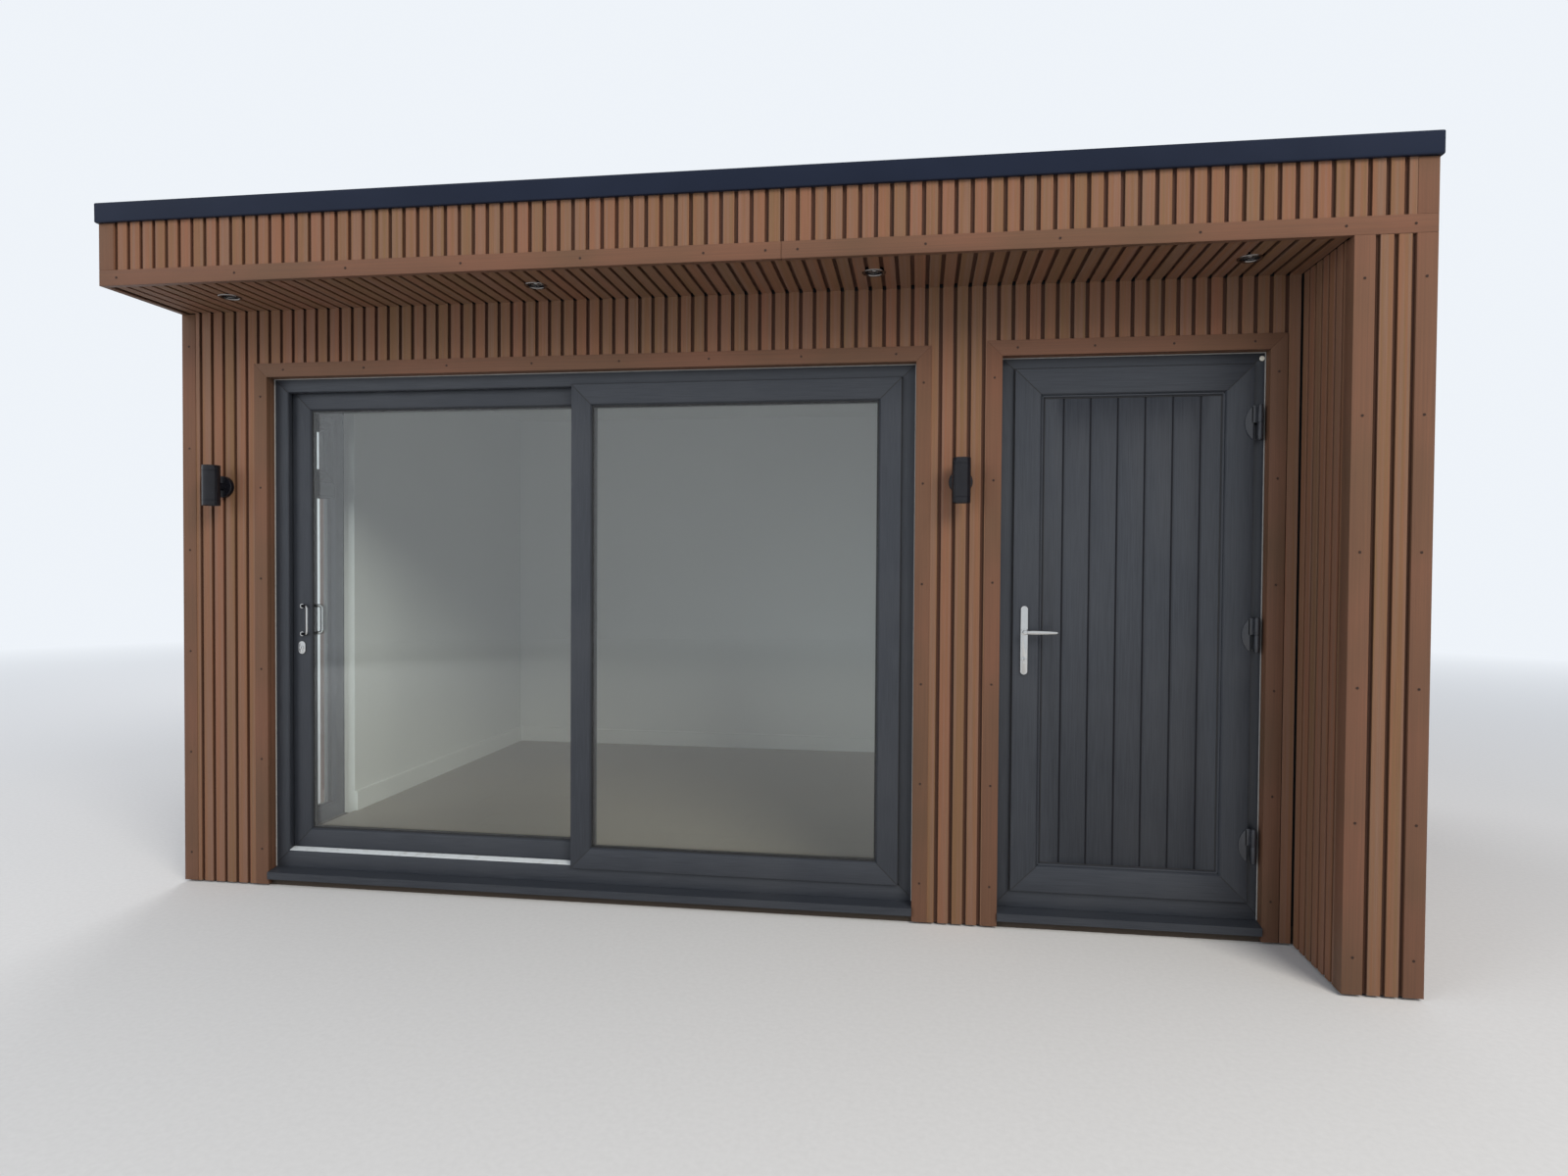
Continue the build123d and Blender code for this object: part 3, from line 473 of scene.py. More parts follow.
clad("back_boards", "cladding_back", (0, back_y, 0), facing_back, -1, fascia_joint,
     [(-high.x, -low.x, skirt_z, roof_z)])
low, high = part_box("cladding_fascia")
clad("fascia_boards", "cladding_fascia", (0, fascia_y, 0), facing_front, 1, fascia_joint,
     [(low.x, high.x, low.z, high.z)])

# wing wall at the right end of the canopy: its end and its inner face
low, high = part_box("cladding_wing")
wing_x = low.x
clad("wing_front_boards", None, (0, fascia_y, 0), facing_front, 1, wing_joint,
     [(wing_x + corner_leg, high.x, skirt_z, fascia_trim_low)])
clad("wing_inner_boards", "cladding_wing", (wing_x, 0, 0), facing_left, 1, side_joint,
     [(-front_y, -low.y - corner_leg, skirt_z, soffit_z)])

# soffit: the same boards face down and run from front to back, drilled for lights
soffit_light_places = [-1.840, -0.645, 0.550, 1.745]
soffit_light_y = (fascia_y + front_y) / 2
soffit_hole_r = 0.0335
drill_l = 0.1
low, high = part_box("soffit")
soffit_boards = clad("soffit_boards", "soffit", (0, 0, soffit_z), facing_down, 1, wall_joint,
                     [(low.x, high.x, -high.y, -low.y)])
for light_x in soffit_light_places:
    drill = rod("drill", (light_x, soffit_light_y, soffit_z), soffit_hole_r, drill_l, 32)
    only(soffit_boards)
    bpy.ops.object.modifier_add(type="BOOLEAN")
    drilled = soffit_boards.modifiers[-1]
    drilled.object = drill
    drilled.solver = "EXACT"
    bpy.ops.object.modifier_apply(modifier=drilled.name)
    bpy.data.objects.remove(drill)
bpy.data.objects.remove(board)


# Trims of the cladding: square-edged composite angles and boards that cover the
# ends of the slats, screwed through the face with small pan-head screws.
def drawn_out(place, along, fine, long, detail):
    """Noise that is fine across one axis and long along it."""
    scales = [fine, fine, fine]
    scales[along] = long
    return noise(place.node("Mapping", None, {0: place, 3: scales}), 1.0, detail)


def trim_finish(name, along):
    """Plain brown composite with its grain along one axis."""
    material, place, shader = start_finish(name)
    shader.inputs["Specular IOR Level"].default_value = 0.30
    grain = drawn_out(place, along, 260.0, 3.0, 4.0)
    warm = ramp(noise(place, 2.3, 2.0), 0.3, 0.7)
    colour = between(warm, (0.112, 0.060, 0.034), (0.152, 0.069, 0.041))
    colour = between(ramp(grain, 0.2, 0.7, 0.35, 0.0), colour, (0.05, 0.028, 0.018))
    cover(shader, colour, 0.50 + grain * 0.22, grain, 0.35, 0.0004)
    return material


trim_grain = [trim_finish("trim_composite_" + letter, i) for i, letter in enumerate("xyz")]
trim_frame = (trim_grain[2], trim_grain[0])
trim_proud = 0.002
trim_t = 0.024
trim_round = 0.0012
smooth_below = math.radians(40)


def block(name, low, high):
    """Box from its lowest to its highest corner, with its place in its mesh."""
    bpy.ops.object.select_all(action="DESELECT")
    bpy.ops.mesh.primitive_cube_add(size=1, location=[(a + b) / 2 for a, b in zip(low, high)])
    piece = bpy.context.object
    piece.name = name
    piece.scale = [b - a for a, b in zip(low, high)]
    settle(piece)
    return piece


def smooth(piece, below=smooth_below):
    """Shades what is curved, up to an angle between its faces."""
    only(piece)
    bpy.ops.object.shade_smooth_by_angle(angle=below)


def soften(piece, width, segments=2):
    """Rounds the sharp edges of a piece and shades what is curved."""
    only(piece)
    bpy.ops.object.modifier_add(type="BEVEL")
    bevel = piece.modifiers[-1]
    bevel.width = width
    bevel.segments = segments
    bevel.limit_method = "ANGLE"
    bevel.angle_limit = math.radians(30)
    bpy.ops.object.modifier_apply(modifier=bevel.name)
    smooth(piece)


def corner_angle(x, y, toward_x, toward_y, z1, z2):
    """Upright angle on an outer corner, with legs towards the two wall faces."""
    tip_x, tip_y = x - toward_x * trim_proud, y - toward_y * trim_proud
    back_x, leg_y = x + toward_x * corner_leg, y + toward_y * trim_t
    low = (min(tip_x, back_x), min(tip_y, leg_y), z1)
    high = (max(tip_x, back_x), max(tip_y, leg_y), z2)
    leg = block("corner_angle", low, high)
    inner_x = x + toward_x * trim_t
    open_mesh(leg)
    score((inner_x, 0, 0), (1, 0, 0))
    pick(leg, "faces", lambda c, n: n.y * toward_y > 0.9 and (inner_x - c.x) * toward_x > 0)
    push(0, toward_y * (corner_leg - trim_t), 0)
    close_mesh()
    return paint(leg, trim_grain[2])


fascia_trim_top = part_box("fascia_trim")[1].z
trim_top = roof_z - 0.005
corner_angles = join("corner_angles", [
    corner_angle(left_x, front_y, 1, 1, skirt_z, fascia_trim_low),
    corner_angle(left_x, back_y, 1, -1, skirt_z, trim_top),
    corner_angle(right_x, back_y, -1, -1, skirt_z, trim_top),
    corner_angle(wing_x, fascia_y, 1, 1, skirt_z, fascia_trim_low),
    corner_angle(right_x, fascia_y, -1, 1, skirt_z, fascia_trim_low),
    corner_angle(left_x, fascia_y, 1, 1, fascia_trim_top, trim_top),
    corner_angle(right_x, fascia_y, -1, 1, fascia_trim_top, trim_top),
])
soften(corner_angles, trim_round)
fit(corner_angles, "corner_trims")

# foot of the fascia: two lengths that butt, returned along both ends
fascia_butt_x = 0.262
butt_gap = 0.0006
foot_t = 0.022
outer_left, outer_right = left_x - trim_proud, right_x + trim_proud
outer_front, inner_front = fascia_y - trim_proud, fascia_y + foot_t
foot_pieces = []
for x1, x2, y1, y2, axis in (
        (outer_left, fascia_butt_x - butt_gap, outer_front, inner_front, 0),
        (fascia_butt_x + butt_gap, outer_right, outer_front, inner_front, 0),
        (outer_left, left_x + foot_t, inner_front + butt_gap, front_y + corner_leg, 1),
        (right_x - foot_t, outer_right, inner_front + butt_gap, fascia_y + corner_leg, 1)):
    foot = block("foot", (x1, y1, fascia_trim_low), (x2, y2, fascia_trim_top))
    foot_pieces.append(paint(foot, trim_grain[axis]))
fascia_foot = join("fascia_foot", foot_pieces)
soften(fascia_foot, trim_round)
fit(fascia_foot, "fascia_trim")


def mitred_frame(name, low, high, widths, finishes, slope=0.0, slope_back=0.0):
    """Four bars round an opening in a front wall, mitred at the corners. widths are
    one for all or those of sides, foot and head, and the left side may differ from
    the right. Without a foot the sides end square. slope bevels their inner edge."""
    (x1, y1, z1), (x2, y2, z2) = low, high
    side, foot, head = widths if isinstance(widths, tuple) else (widths,) * 3
    left, right = side if isinstance(side, tuple) else (side, side)
    upright, level = finishes if isinstance(finishes, tuple) else (finishes, finishes)
    bars = [
        (block("bar", (x1, y1, z1), (x1 + left, y2, z2)), upright,
         [((x1, y1, z1), (foot, 0, -left)), ((x1, y1, z2), (head, 0, left))]),
        (block("bar", (x2 - right, y1, z1), (x2, y2, z2)), upright,
         [((x2, y1, z1), (-foot, 0, -right)), ((x2, y1, z2), (-head, 0, right))]),
        (block("bar", (x1, y1, z2 - head), (x2, y2, z2)), level,
         [((x1, y1, z2), (-head, 0, -left)), ((x2, y1, z2), (head, 0, -right))]),
    ]
    if foot:
        bars.append((block("bar", (x1, y1, z1), (x2, y2, z1 + foot)), level,
                     [((x1, y1, z1), (-foot, 0, left)), ((x2, y1, z1), (foot, 0, right))]))
    sight_x, sight_z = (x1 + left, x2 - right), (z1 + foot, z2 - head)
    pieces = []
    for bar, finish, ends in bars:
        for depth, face_at in ((slope, y1), (slope_back, y2)):
            if depth:
                open_mesh(bar)
                pick(bar, "edges", lambda c, way: abs(c.y - face_at) < near and (
                    (abs(way.z) > 0.9 and min(abs(c.x - x) for x in sight_x) < near)
                    or (abs(way.x) > 0.9 and min(abs(c.z - z) for z in sight_z) < near)))
                bpy.ops.mesh.bevel(offset=depth, segments=1, affect="EDGES")
                close_mesh()
        for point, away in ends:
            if foot or point[2] == z2:
                cut(bar, point, away)
        pieces.append(paint(bar, finish))
    return join(name, pieces)


architrave_w = 0.054
architrave_return = 0.012
architrave_deep = 0.047
return_foot = 0.0603
trim_foot = slide_trim[0].z


def architrave(name, x1, x2, z2, y, cad_node, turned=False):
    """Mitred trim round three sides of an opening. Its inner edge turns in
    against the frame, from the floor deck upwards."""
    trims = mitred_frame("face", (x1, y - trim_proud, trim_foot), (x2, y + foot_t, z2),
                         (architrave_w, 0, architrave_w), trim_frame)
    inner = architrave_w - architrave_return
    returns = mitred_frame("return", (x1 + inner, y + foot_t, return_foot),
                           (x2 - inner, y + architrave_deep, z2 - inner),
                           (architrave_return, 0, architrave_return), trim_frame)
    trim = join(name, [trims, returns])
    soften(trim, 0.0010)
    if turned:
        settle(trim, turn=facing_left)
    fit(trim, cad_node)


architrave("slide_door_architrave", slide_trim[0].x, slide_trim[1].x, slide_trim[1].z,
           front_y, "slide_architrave")
architrave("store_door_architrave", store_trim[0].x, store_trim[1].x, store_trim[1].z,
           front_y, "store_architrave")
architrave("side_window_architrave", -window_trim[1].y, -window_trim[0].y, window_trim[1].z,
           left_x, "window_architrave", turned=True)

# screws: brown pan heads with a recess
screw_r = 0.0042
screw_h = 0.0016
screw = rod("screw", (0, 0, 0), screw_r, screw_h, 14)
open_mesh(screw)
pick(screw, "edges", lambda c, way: c.z > 0.0007 and abs(way.z) < 0.1)
bpy.ops.mesh.bevel(offset=0.0007, segments=2, affect="EDGES")
pick(screw, "faces", lambda c, n: n.z > 0.95)
bpy.ops.mesh.inset(thickness=0.0016)
push(0, 0, -0.0010)
close_mesh()


def speckled(name, scale, detail, dark, pale, rough, rougher, metal=0.0):
    """Finish with fine specks: two colours, and a roughness that rises with them."""
    material, place, shader = start_finish(name)
    specks = noise(place, scale, detail)
    cover(shader, between(specks, dark, pale), rough + specks * rougher)
    shader.inputs["Metallic"].default_value = metal
    return material


paint(screw, speckled("screw_brown", 900.0, 2.0, (0.030, 0.017, 0.012), (0.070, 0.038, 0.026),
                      0.35, 0.3, metal=0.5))
to_front = (math.radians(90), 0, 0)
to_left = (0, math.radians(-90), 0)
to_right = (0, math.radians(90), 0)
to_back = (math.radians(-90), 0, 0)
screw_out = trim_proud + 0.0004
screw_y, fascia_screw_y, screw_x = front_y - screw_out, fascia_y - screw_out, left_x - screw_out
trim_mid = architrave_w / 2
leg_mid = corner_leg / 2
fascia_mid = (fascia_trim_low + fascia_trim_top) / 2
fascia_screws = (-2.133, -1.670, -1.250, -0.830, -0.410, 0.007, 0.211, 0.315, 0.720, 1.130,
                 1.540, 1.950, 2.140)


def spread(first, last, count):
    """Evenly spread numbers, both ends included."""
    return [first + (last - first) * i / (count - 1) for i in range(count)]


def on_legs(*middles):
    """Places up the legs of corner angles, as a place along the wall and a height."""
    return [(middle, z) for middle in middles for z in spread(0.12, 2.14, 6)]


def round_trim(trim, axis, head_count, inset):
    """Places round an architrave, with the wall running along an axis."""
    first, last, top = trim[0][axis], trim[1][axis], trim[1].z
    places = [(at, top - trim_mid) for at in spread(first + inset, last - inset, head_count)]
    for at in (first + trim_mid, last - trim_mid):
        places += [(at, z) for z in spread(trim[0].z + 0.14, top - 0.13, 6)]
    return places


def set_screws(name, turn, *rows):
    """Copies of the screw, turned to face outwards. A row is the wall's axis, the
    place of the screws on the other one, and their places on the wall."""
    heads = []
    for axis, out, places in rows:
        for at, z in places:
            head = copy_of(screw, (out, at, z) if axis else (at, out, z))
            head.rotation_euler = turn
            heads.append(head)
    heads = join(name, heads)
    settle(heads)
    fit(heads)


set_screws("front_screws", to_front,
           (0, screw_y, round_trim(slide_trim, 0, 8, 0.125)),
           (0, screw_y, round_trim(store_trim, 0, 4, 0.105)),
           (0, fascia_screw_y, [(x, fascia_mid) for x in fascia_screws]),
           (0, screw_y, on_legs(left_x + leg_mid)),
           (0, fascia_screw_y, on_legs(wing_x + leg_mid, right_x - leg_mid)))
set_screws("left_screws", to_left,
           (1, screw_x, round_trim(window_trim, 1, 3, 0.105)),
           (1, screw_x, on_legs(front_y + leg_mid, back_y - leg_mid)))
set_screws("right_screws", to_right,
           (1, right_x + screw_out, on_legs(fascia_y + leg_mid, back_y - leg_mid)))
set_screws("back_screws", to_back,
           (0, back_y + screw_out, on_legs(left_x + leg_mid, right_x - leg_mid)))
bpy.data.objects.remove(screw)


# Roof edge: a black moulded trim with a satin face, set on the rubber sheet as a
# low kerb all round, with a leg that hangs over the top of the cladding.
roof_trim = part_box("roof_edge_trim")
kerb_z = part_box("roof_membrane")[1].z
kerb_in = 0.055
roof_round = 0.004
(rx1, ry1, _), (rx2, ry2, rz2) = roof_trim
kx1, kx2 = left_x + kerb_in, right_x - kerb_in
ky1, ky2 = fascia_y + kerb_in, back_y - kerb_in
mitre_x, mitre_y = kx1 - rx1, ky1 - ry1

satin_black, place, shader = start_finish("satin_black")
shader.inputs["Specular IOR Level"].default_value = 0.16
ripple = noise(place, 5.0, 2.0)
dust = noise(place, 320.0, 3.0)
colour = between(ripple, (0.005, 0.008, 0.018), (0.009, 0.013, 0.027))
cover(shader, colour, 0.36 + dust * 0.16, ripple + dust * 0.02, 0.25, 0.004)


def roof_bar(x1, x2, y1, y2, outward, ends):
    """One side of the roof trim, with its leg along the outer edge. Its ends are
    mitred at a corner, towards the side that the end gives."""
    bar = block("roof_bar", (x1, y1, kerb_z), (x2, y2, rz2))
    wall_x = left_x if outward[0] < 0 else right_x
    wall_y = fascia_y if outward[1] < 0 else back_y
    open_mesh(bar)
    score((wall_x, wall_y, 0), outward)
    pick(bar, "faces", lambda c, n: n.z < -0.9 and (
        (c.x - wall_x) * outward[0] > 0 or (c.y - wall_y) * outward[1] > 0))
    push(0, 0, roof_trim[0].z - kerb_z)
    close_mesh()
    for x, y, way_x, way_y in ends:
        cut(bar, (x, y, 0), (way_x * mitre_y, way_y * mitre_x, 0))
    return paint(bar, satin_black)


roof_edge = join("roof_edge", [
    roof_bar(rx1, rx2, ry1, ky1, (0, -1, 0), [(rx1, ry1, -1, 1), (rx2, ry1, 1, 1)]),
    roof_bar(rx1, rx2, ky2, ry2, (0, 1, 0), [(rx1, ry2, -1, -1), (rx2, ry2, 1, -1)]),
    roof_bar(rx1, kx1, ry1, ry2, (-1, 0, 0), [(rx1, ry1, 1, -1), (rx1, ry2, 1, 1)]),
    roof_bar(kx2, rx2, ry1, ry2, (1, 0, 0), [(rx2, ry1, -1, -1), (rx2, ry2, -1, 1)]),
])
soften(roof_edge, roof_round, segments=3)
fit(roof_edge, "roof_edge_trim")

# rubber sheet: two widths with a glued lap, dusty and slightly uneven
rubber, place, shader = start_finish("roof_rubber")
grit = noise(place, 180.0, 4.0)
puddle = noise(place, 1.4, 3.0)
colour = between(grit, (0.022, 0.023, 0.025), (0.045, 0.046, 0.048))
colour = between(ramp(puddle, 0.45, 0.62, 0.0, 0.5), colour, (0.095, 0.092, 0.085))
cover(shader, colour, 0.62 + grit * 0.25, puddle + grit * 0.08, 0.4, 0.006)
lap_x = 0.35
lap_w = 0.10
lap_t = 0.0012
sheet = block("sheet", (left_x, fascia_y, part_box("roof_membrane")[0].z), (right_x, back_y, kerb_z))
lap = block("lap", (lap_x, ky1, kerb_z), (lap_x + lap_w, ky2, kerb_z + lap_t))
roof_sheet = paint(join("roof_sheet", [sheet, lap]), rubber)
soften(roof_sheet, lap_t / 2)
fit(roof_sheet, "roof_membrane")


# Sliding door: outer frame of dark foiled plastic, its four bars welded at the
# mitres, screwed through to the wall and open inside as the track of the sash.
def foil_finish(name, along, hollow=None):
    """Anthracite foil with a faint wood grain along one axis and a satin sheen.
    Painted shade darkens a hollow, given as the middle of the piece in y, how
    far its faces are from there, and how deep the hollow is."""
    material, place, shader = start_finish(name)
    shader.inputs["Specular IOR Level"].default_value = 0.38
    grain = drawn_out(place, along, 420.0, 9.0, 4.0)
    cloud = noise(place, 3.0, 2.0)
    colour = between(ramp(grain, 0.30, 0.72), (0.021, 0.024, 0.030), (0.034, 0.038, 0.046))
    colour = between(ramp(cloud, 0.45, 0.80, 0.0, 0.22), colour, (0.062, 0.064, 0.068))
    if hollow:
        middle, half, deep = hollow
        depth = place.node("SeparateXYZ", None, {0: place}, 1)
        sunk = half - place.math("ABSOLUTE", depth - middle)
        # painted shade: the hollow gets darker with depth, towards near black
        colour = between(ramp(sunk, 0.0003, deep, 0.0, 0.9), colour, (0.003, 0.003, 0.005))
    cover(shader, colour, 0.28 + grain * 0.16 + cloud * 0.06, grain, 0.25, 0.00025)
    return material


foil = [foil_finish("foil_" + letter, i) for i, letter in enumerate("xyz")]
foil_frame = (foil[2], foil[0])

(sx1, sy1, sz1), (sx2, sy2, sz2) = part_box("slide_frame")
slide_side, slide_foot, slide_head = 0.070, 0.066, 0.067
slide_bars = (slide_side, slide_foot, slide_head)
frame_slope = 0.004
frame_round = 0.0012
channel_front = 0.027
channel_back = 0.081
channel_deep = 0.010
channel_foot = 0.016
channel_bars = (slide_side - channel_deep, slide_foot - channel_foot, slide_head - 2 * channel_deep)
slide_door_frame = join("slide_door_frame", [
    mitred_frame("front", (sx1, sy1, sz1), (sx2, sy1 + channel_front, sz2), slide_bars,
                 foil_frame, slope=frame_slope),
    mitred_frame("track", (sx1, sy1 + channel_front, sz1), (sx2, sy1 + channel_back, sz2),
                 channel_bars, foil_frame),
    mitred_frame("back", (sx1, sy1 + channel_back, sz1), (sx2, sy2, sz2), slide_bars,
                 foil_frame, slope_back=frame_slope),
])
soften(slide_door_frame, frame_round)
fit(slide_door_frame, "slide_frame")


def shift(x, y, z):
    """Moves what is selected by a distance."""
    bpy.ops.transform.translate(value=(x, y, z))


# the aluminium threshold in the open half of the outer track, with anti-slip ribs
bare_aluminium, place, shader = start_finish("bare_aluminium")
brushed = drawn_out(place, 0, 900.0, 6.0, 3.0)
grime = ramp(noise(place, 35.0, 4.0), 0.52, 0.75, 0.0, 0.6)
cover(shader, between(grime, (0.62, 0.65, 0.65), (0.40, 0.39, 0.36)), 0.34 + brushed * 0.2)
shader.inputs["Metallic"].default_value = 0.35
(fx1, fy1, fz1), (fx2, fy2, fz2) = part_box("fixed_sash")
strip_z = sz1 + slide_foot
strip_t = 0.002
strip_rise = 0.008
strip_ribs = 4
rib_pitch = 0.006
rib_h = 0.0008
strip_y1, strip_y2 = sy1 + 0.002, sy1 + 0.030
rib_start = strip_y1 + 0.002
threshold = block("threshold_strip", (sx1 + slide_side, strip_y1, strip_z),
                  (fx1 - 0.001, strip_y2, strip_z + strip_t))
open_mesh(threshold)
pick(threshold, "verts", lambda c, n: c.y > strip_y2 - 0.001 and c.z > strip_z + strip_t / 2)
shift(0, 0, strip_rise)
for i in range(2 * strip_ribs + 1):
    score((0, rib_start + i * rib_pitch / 2, 0), (0, 1, 0))
rib_ys = [rib_start + rib_pitch * (i + 0.25) for i in range(strip_ribs)]
pick(threshold, "faces", lambda c, n: n.z > 0.9 and any(abs(c.y - y) < 0.001 for y in rib_ys))
push(0, 0, rib_h)
close_mesh()
paint(threshold, bare_aluminium)
soften(threshold, 0.0003, segments=1)
fit(threshold)
node["slide_rail"].data.materials[0] = bare_aluminium

# the welds show as thin dark lines over the mitres, from corner to corner
gasket_rubber = speckled("gasket_rubber", 120.0, 3.0, (0.008, 0.008, 0.009), (0.024, 0.024, 0.025),
                         0.55, 0.2)
weld_w = 0.0034
mitre_long = 1.42
weld_t = 0.0003
weld_in = 0.0002
weld_start = 0.0005


def weld_lines(name, low, high, widths, short, body="building"):
    """Dark filler in the grooves of four mitres. low and high are the corners of
    the frame, and short is how wide the slope is before which the lines end."""
    (x1, y, z1), (x2, _, z2) = low, high
    side, foot, head = widths if isinstance(widths, tuple) else (widths,) * 3
    left, right = side if isinstance(side, tuple) else (side, side)
    lines = []
    for x, z, run, rise in ((x1, z1, left, foot), (x2, z1, -right, foot),
                            (x1, z2, left, -head), (x2, z2, -right, -head)):
        length = math.hypot(run, rise) - short * mitre_long
        line = block("line", (weld_start, -weld_t, -weld_w / 2), (length, weld_t, weld_w / 2))
        settle(line, (x, y + weld_in, z), (0, -math.atan2(rise, run), 0))
        lines.append(paint(line, gasket_rubber))
    fit(join(name, lines), None, body)


# sashes: mitred bars with sloping glazing beads, black gaskets and sealed units
sash_w = 0.080
sash_round = 0.0013
bead_slope = 0.006
lap_deep = 0.015
lap_over = 0.006
pane_t = 0.004
unit_t = 0.024
gasket_w = 0.004
gasket_out = 0.002
gasket_slope = 0.0012
spacer_w = 0.007

clear_glass, place, shader = start_finish("clear_glass")
shader.inputs["Base Color"].default_value = (0.97, 0.985, 0.98, 1)
shader.inputs["Roughness"].default_value = 0.0
shader.inputs["IOR"].default_value = 1.5
shader.inputs["Transmission Weight"].default_value = 1.0
lamp_ray = place.node("LightPath", output=1)
show_through(clear_glass, lamp_ray, place.node("BsdfTransparent", None, {0: (0.95, 0.97, 0.96, 1)}))


def glaze(name, x1, x2, z1, z2, y, cad_node=None, body="building", turned=False):
    """Sealed unit behind a sight size: two panes, a black spacer and gaskets.
    y is its outer face."""
    back = y + unit_t
    panes = join(name + "_panes", [
        block("pane", (x1, y, z1), (x2, y + pane_t, z2)),
        block("pane", (x1, back - pane_t, z1), (x2, back, z2)),
    ])
    edge = join(name + "_gaskets", [
        mitred_frame("spacer", (x1, y + pane_t, z1), (x2, back - pane_t, z2), spacer_w,
                     gasket_rubber),
        mitred_frame("gasket", (x1, y - gasket_out, z1), (x2, y, z2), gasket_w,
                     gasket_rubber, slope=gasket_slope),
        mitred_frame("gasket", (x1, back, z1), (x2, back + gasket_out, z2), gasket_w,
                     gasket_rubber),
    ])
    if turned:
        settle(panes, turn=facing_left)
        settle(edge, turn=facing_left)
    fit(paint(panes, clear_glass), cad_node, body)
    fit(edge, None, body)


fixed_door_sash = join("fixed_door_sash", [
    mitred_frame("fixed_front", (fx1, fy1, fz1), (fx2, fy1 + lap_deep, fz2), sash_w,
                 foil_frame, slope=bead_slope),
    mitred_frame("fixed_back", (fx1, fy1 + lap_deep, fz1 + lap_over),
                 (fx2 - lap_over, fy2, fz2 - lap_over),
                 ((sash_w, sash_w - lap_over), sash_w - lap_over, sash_w - lap_over),
                 foil_frame, slope_back=bead_slope),
])
soften(fixed_door_sash, sash_round)
fit(fixed_door_sash, "fixed_sash")
weld_lines("slide_frame_welds", (sx1, sy1, sz1), (sx2, sy2, sz2), slide_bars, frame_slope)
weld_lines("fixed_sash_welds", (fx1, fy1, fz1), (fx2, fy2, fz2), sash_w, bead_slope)
# black strip round the fixed sash on the frame's face: painted shadow of the gap between sash and frame
gap_shadow_out = 0.003
gap_shadow_t = 0.0035
fixed_gap_shadow = mitred_frame("fixed_door_gap_shadow", (fx1 - gap_shadow_out, sy1 - gap_shadow_t, fz1 - gap_shadow_out),
                          (fx2 + gap_shadow_out, sy1, fz2 + gap_shadow_out), 2 * gap_shadow_out, gasket_rubber)
fit(fixed_gap_shadow)
glass_in = (fy2 - fy1 - unit_t) / 2
glaze("fixed_glazing", fx1 + sash_w, fx2 - sash_w, fz1 + sash_w, fz2 - sash_w, fy1 + glass_in,
      "fixed_glass")

(mx1, my1, mz1), (mx2, my2, mz2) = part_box("sliding_sash")
sliding_door_sash = mitred_frame("sliding_door_sash", (mx1, my1, mz1), (mx2, my2, mz2), sash_w,
                                 foil_frame, slope=bead_slope, slope_back=bead_slope)
soften(sliding_door_sash, sash_round)
fit(sliding_door_sash, "sliding_sash", "sliding_door")
weld_lines("sliding_sash_welds", (mx1, my1, mz1), (mx2, my2, mz2), sash_w, bead_slope,
           "sliding_door")
glaze("sliding_glazing", mx1 + sash_w, mx2 - sash_w, mz1 + sash_w, mz2 - sash_w, my1 + glass_in,
      "sliding_glass", "sliding_door")


# Store door: rebated frame and a leaf that laps it, in the same dark foil, round
# a panel of upright moulded planks held by a bead.
(tx1, ty1, tz1), (tx2, ty2, tz2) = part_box("store_frame")
(lx1, ly1, lz1), (lx2, ly2, lz2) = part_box("store_leaf")
leaf_lip = 0.008
leaf_lip_t = 0.011
leaf_clear = 0.005
leaf_face = 0.093
store_stop = 0.011
rebate_slope = 0.003
rebate = ((lx1 + leaf_lip - tx1, tx2 - lx2 + leaf_lip), lz1 + leaf_lip - tz1, tz2 - lz2 + leaf_lip)
store_door_frame = join("store_door_frame", [
    mitred_frame("rebate", (tx1, ty1, tz1), (tx2, ty2, tz2), rebate, foil_frame,
                 slope=rebate_slope),
    mitred_frame("stop", (lx1 + leaf_lip, ly2 + leaf_clear, lz1 + leaf_lip),
                 (lx2 - leaf_lip, ty2, lz2 - leaf_lip), store_stop, gasket_rubber),
])
soften(store_door_frame, sash_round)
fit(store_door_frame, "store_frame")

body_in = leaf_lip + leaf_clear
store_door_leaf = join("store_door_leaf", [
    mitred_frame("lip", (lx1, ly1, lz1), (lx2, ly1 + leaf_lip_t, lz2), leaf_face, foil_frame,
                 slope=bead_slope),
    mitred_frame("body", (lx1 + body_in, ly1 + leaf_lip_t, lz1 + body_in),
                 (lx2 - body_in, ly2, lz2 - body_in), leaf_face - body_in, foil_frame,
                 slope_back=bead_slope),
])
soften(store_door_leaf, sash_round)
fit(store_door_leaf, "store_leaf", "store_door")
weld_lines("store_leaf_welds", (lx1, ly1, lz1), (lx2, ly2, lz2), leaf_face, bead_slope,
           "store_door")
weld_lines("store_frame_welds", (tx1, ty1, tz1), (tx2, ty2, tz2), rebate, rebate_slope)

# the black strip round the leaf, painted shadow of the gap between leaf and frame,
# and the grey sealant bead that joins each frame to its architrave
leaf_gap_shadow_out = 0.004
leaf_gap_shadow_w = 0.011
leaf_gap_shadow_t = 0.0042
leaf_gap_shadow_in = 0.0005
# black strip as painted shadow of the gap round the leaf
leaf_gap_shadow = mitred_frame("store_leaf_gap_shadow",
                         (lx1 - leaf_gap_shadow_out, ty1 - leaf_gap_shadow_t, lz1 - leaf_gap_shadow_out),
                         (lx2 + leaf_gap_shadow_out, ty1 + leaf_gap_shadow_in, lz2 + leaf_gap_shadow_out),
                         leaf_gap_shadow_w, gasket_rubber, slope=gasket_slope)
fit(leaf_gap_shadow)

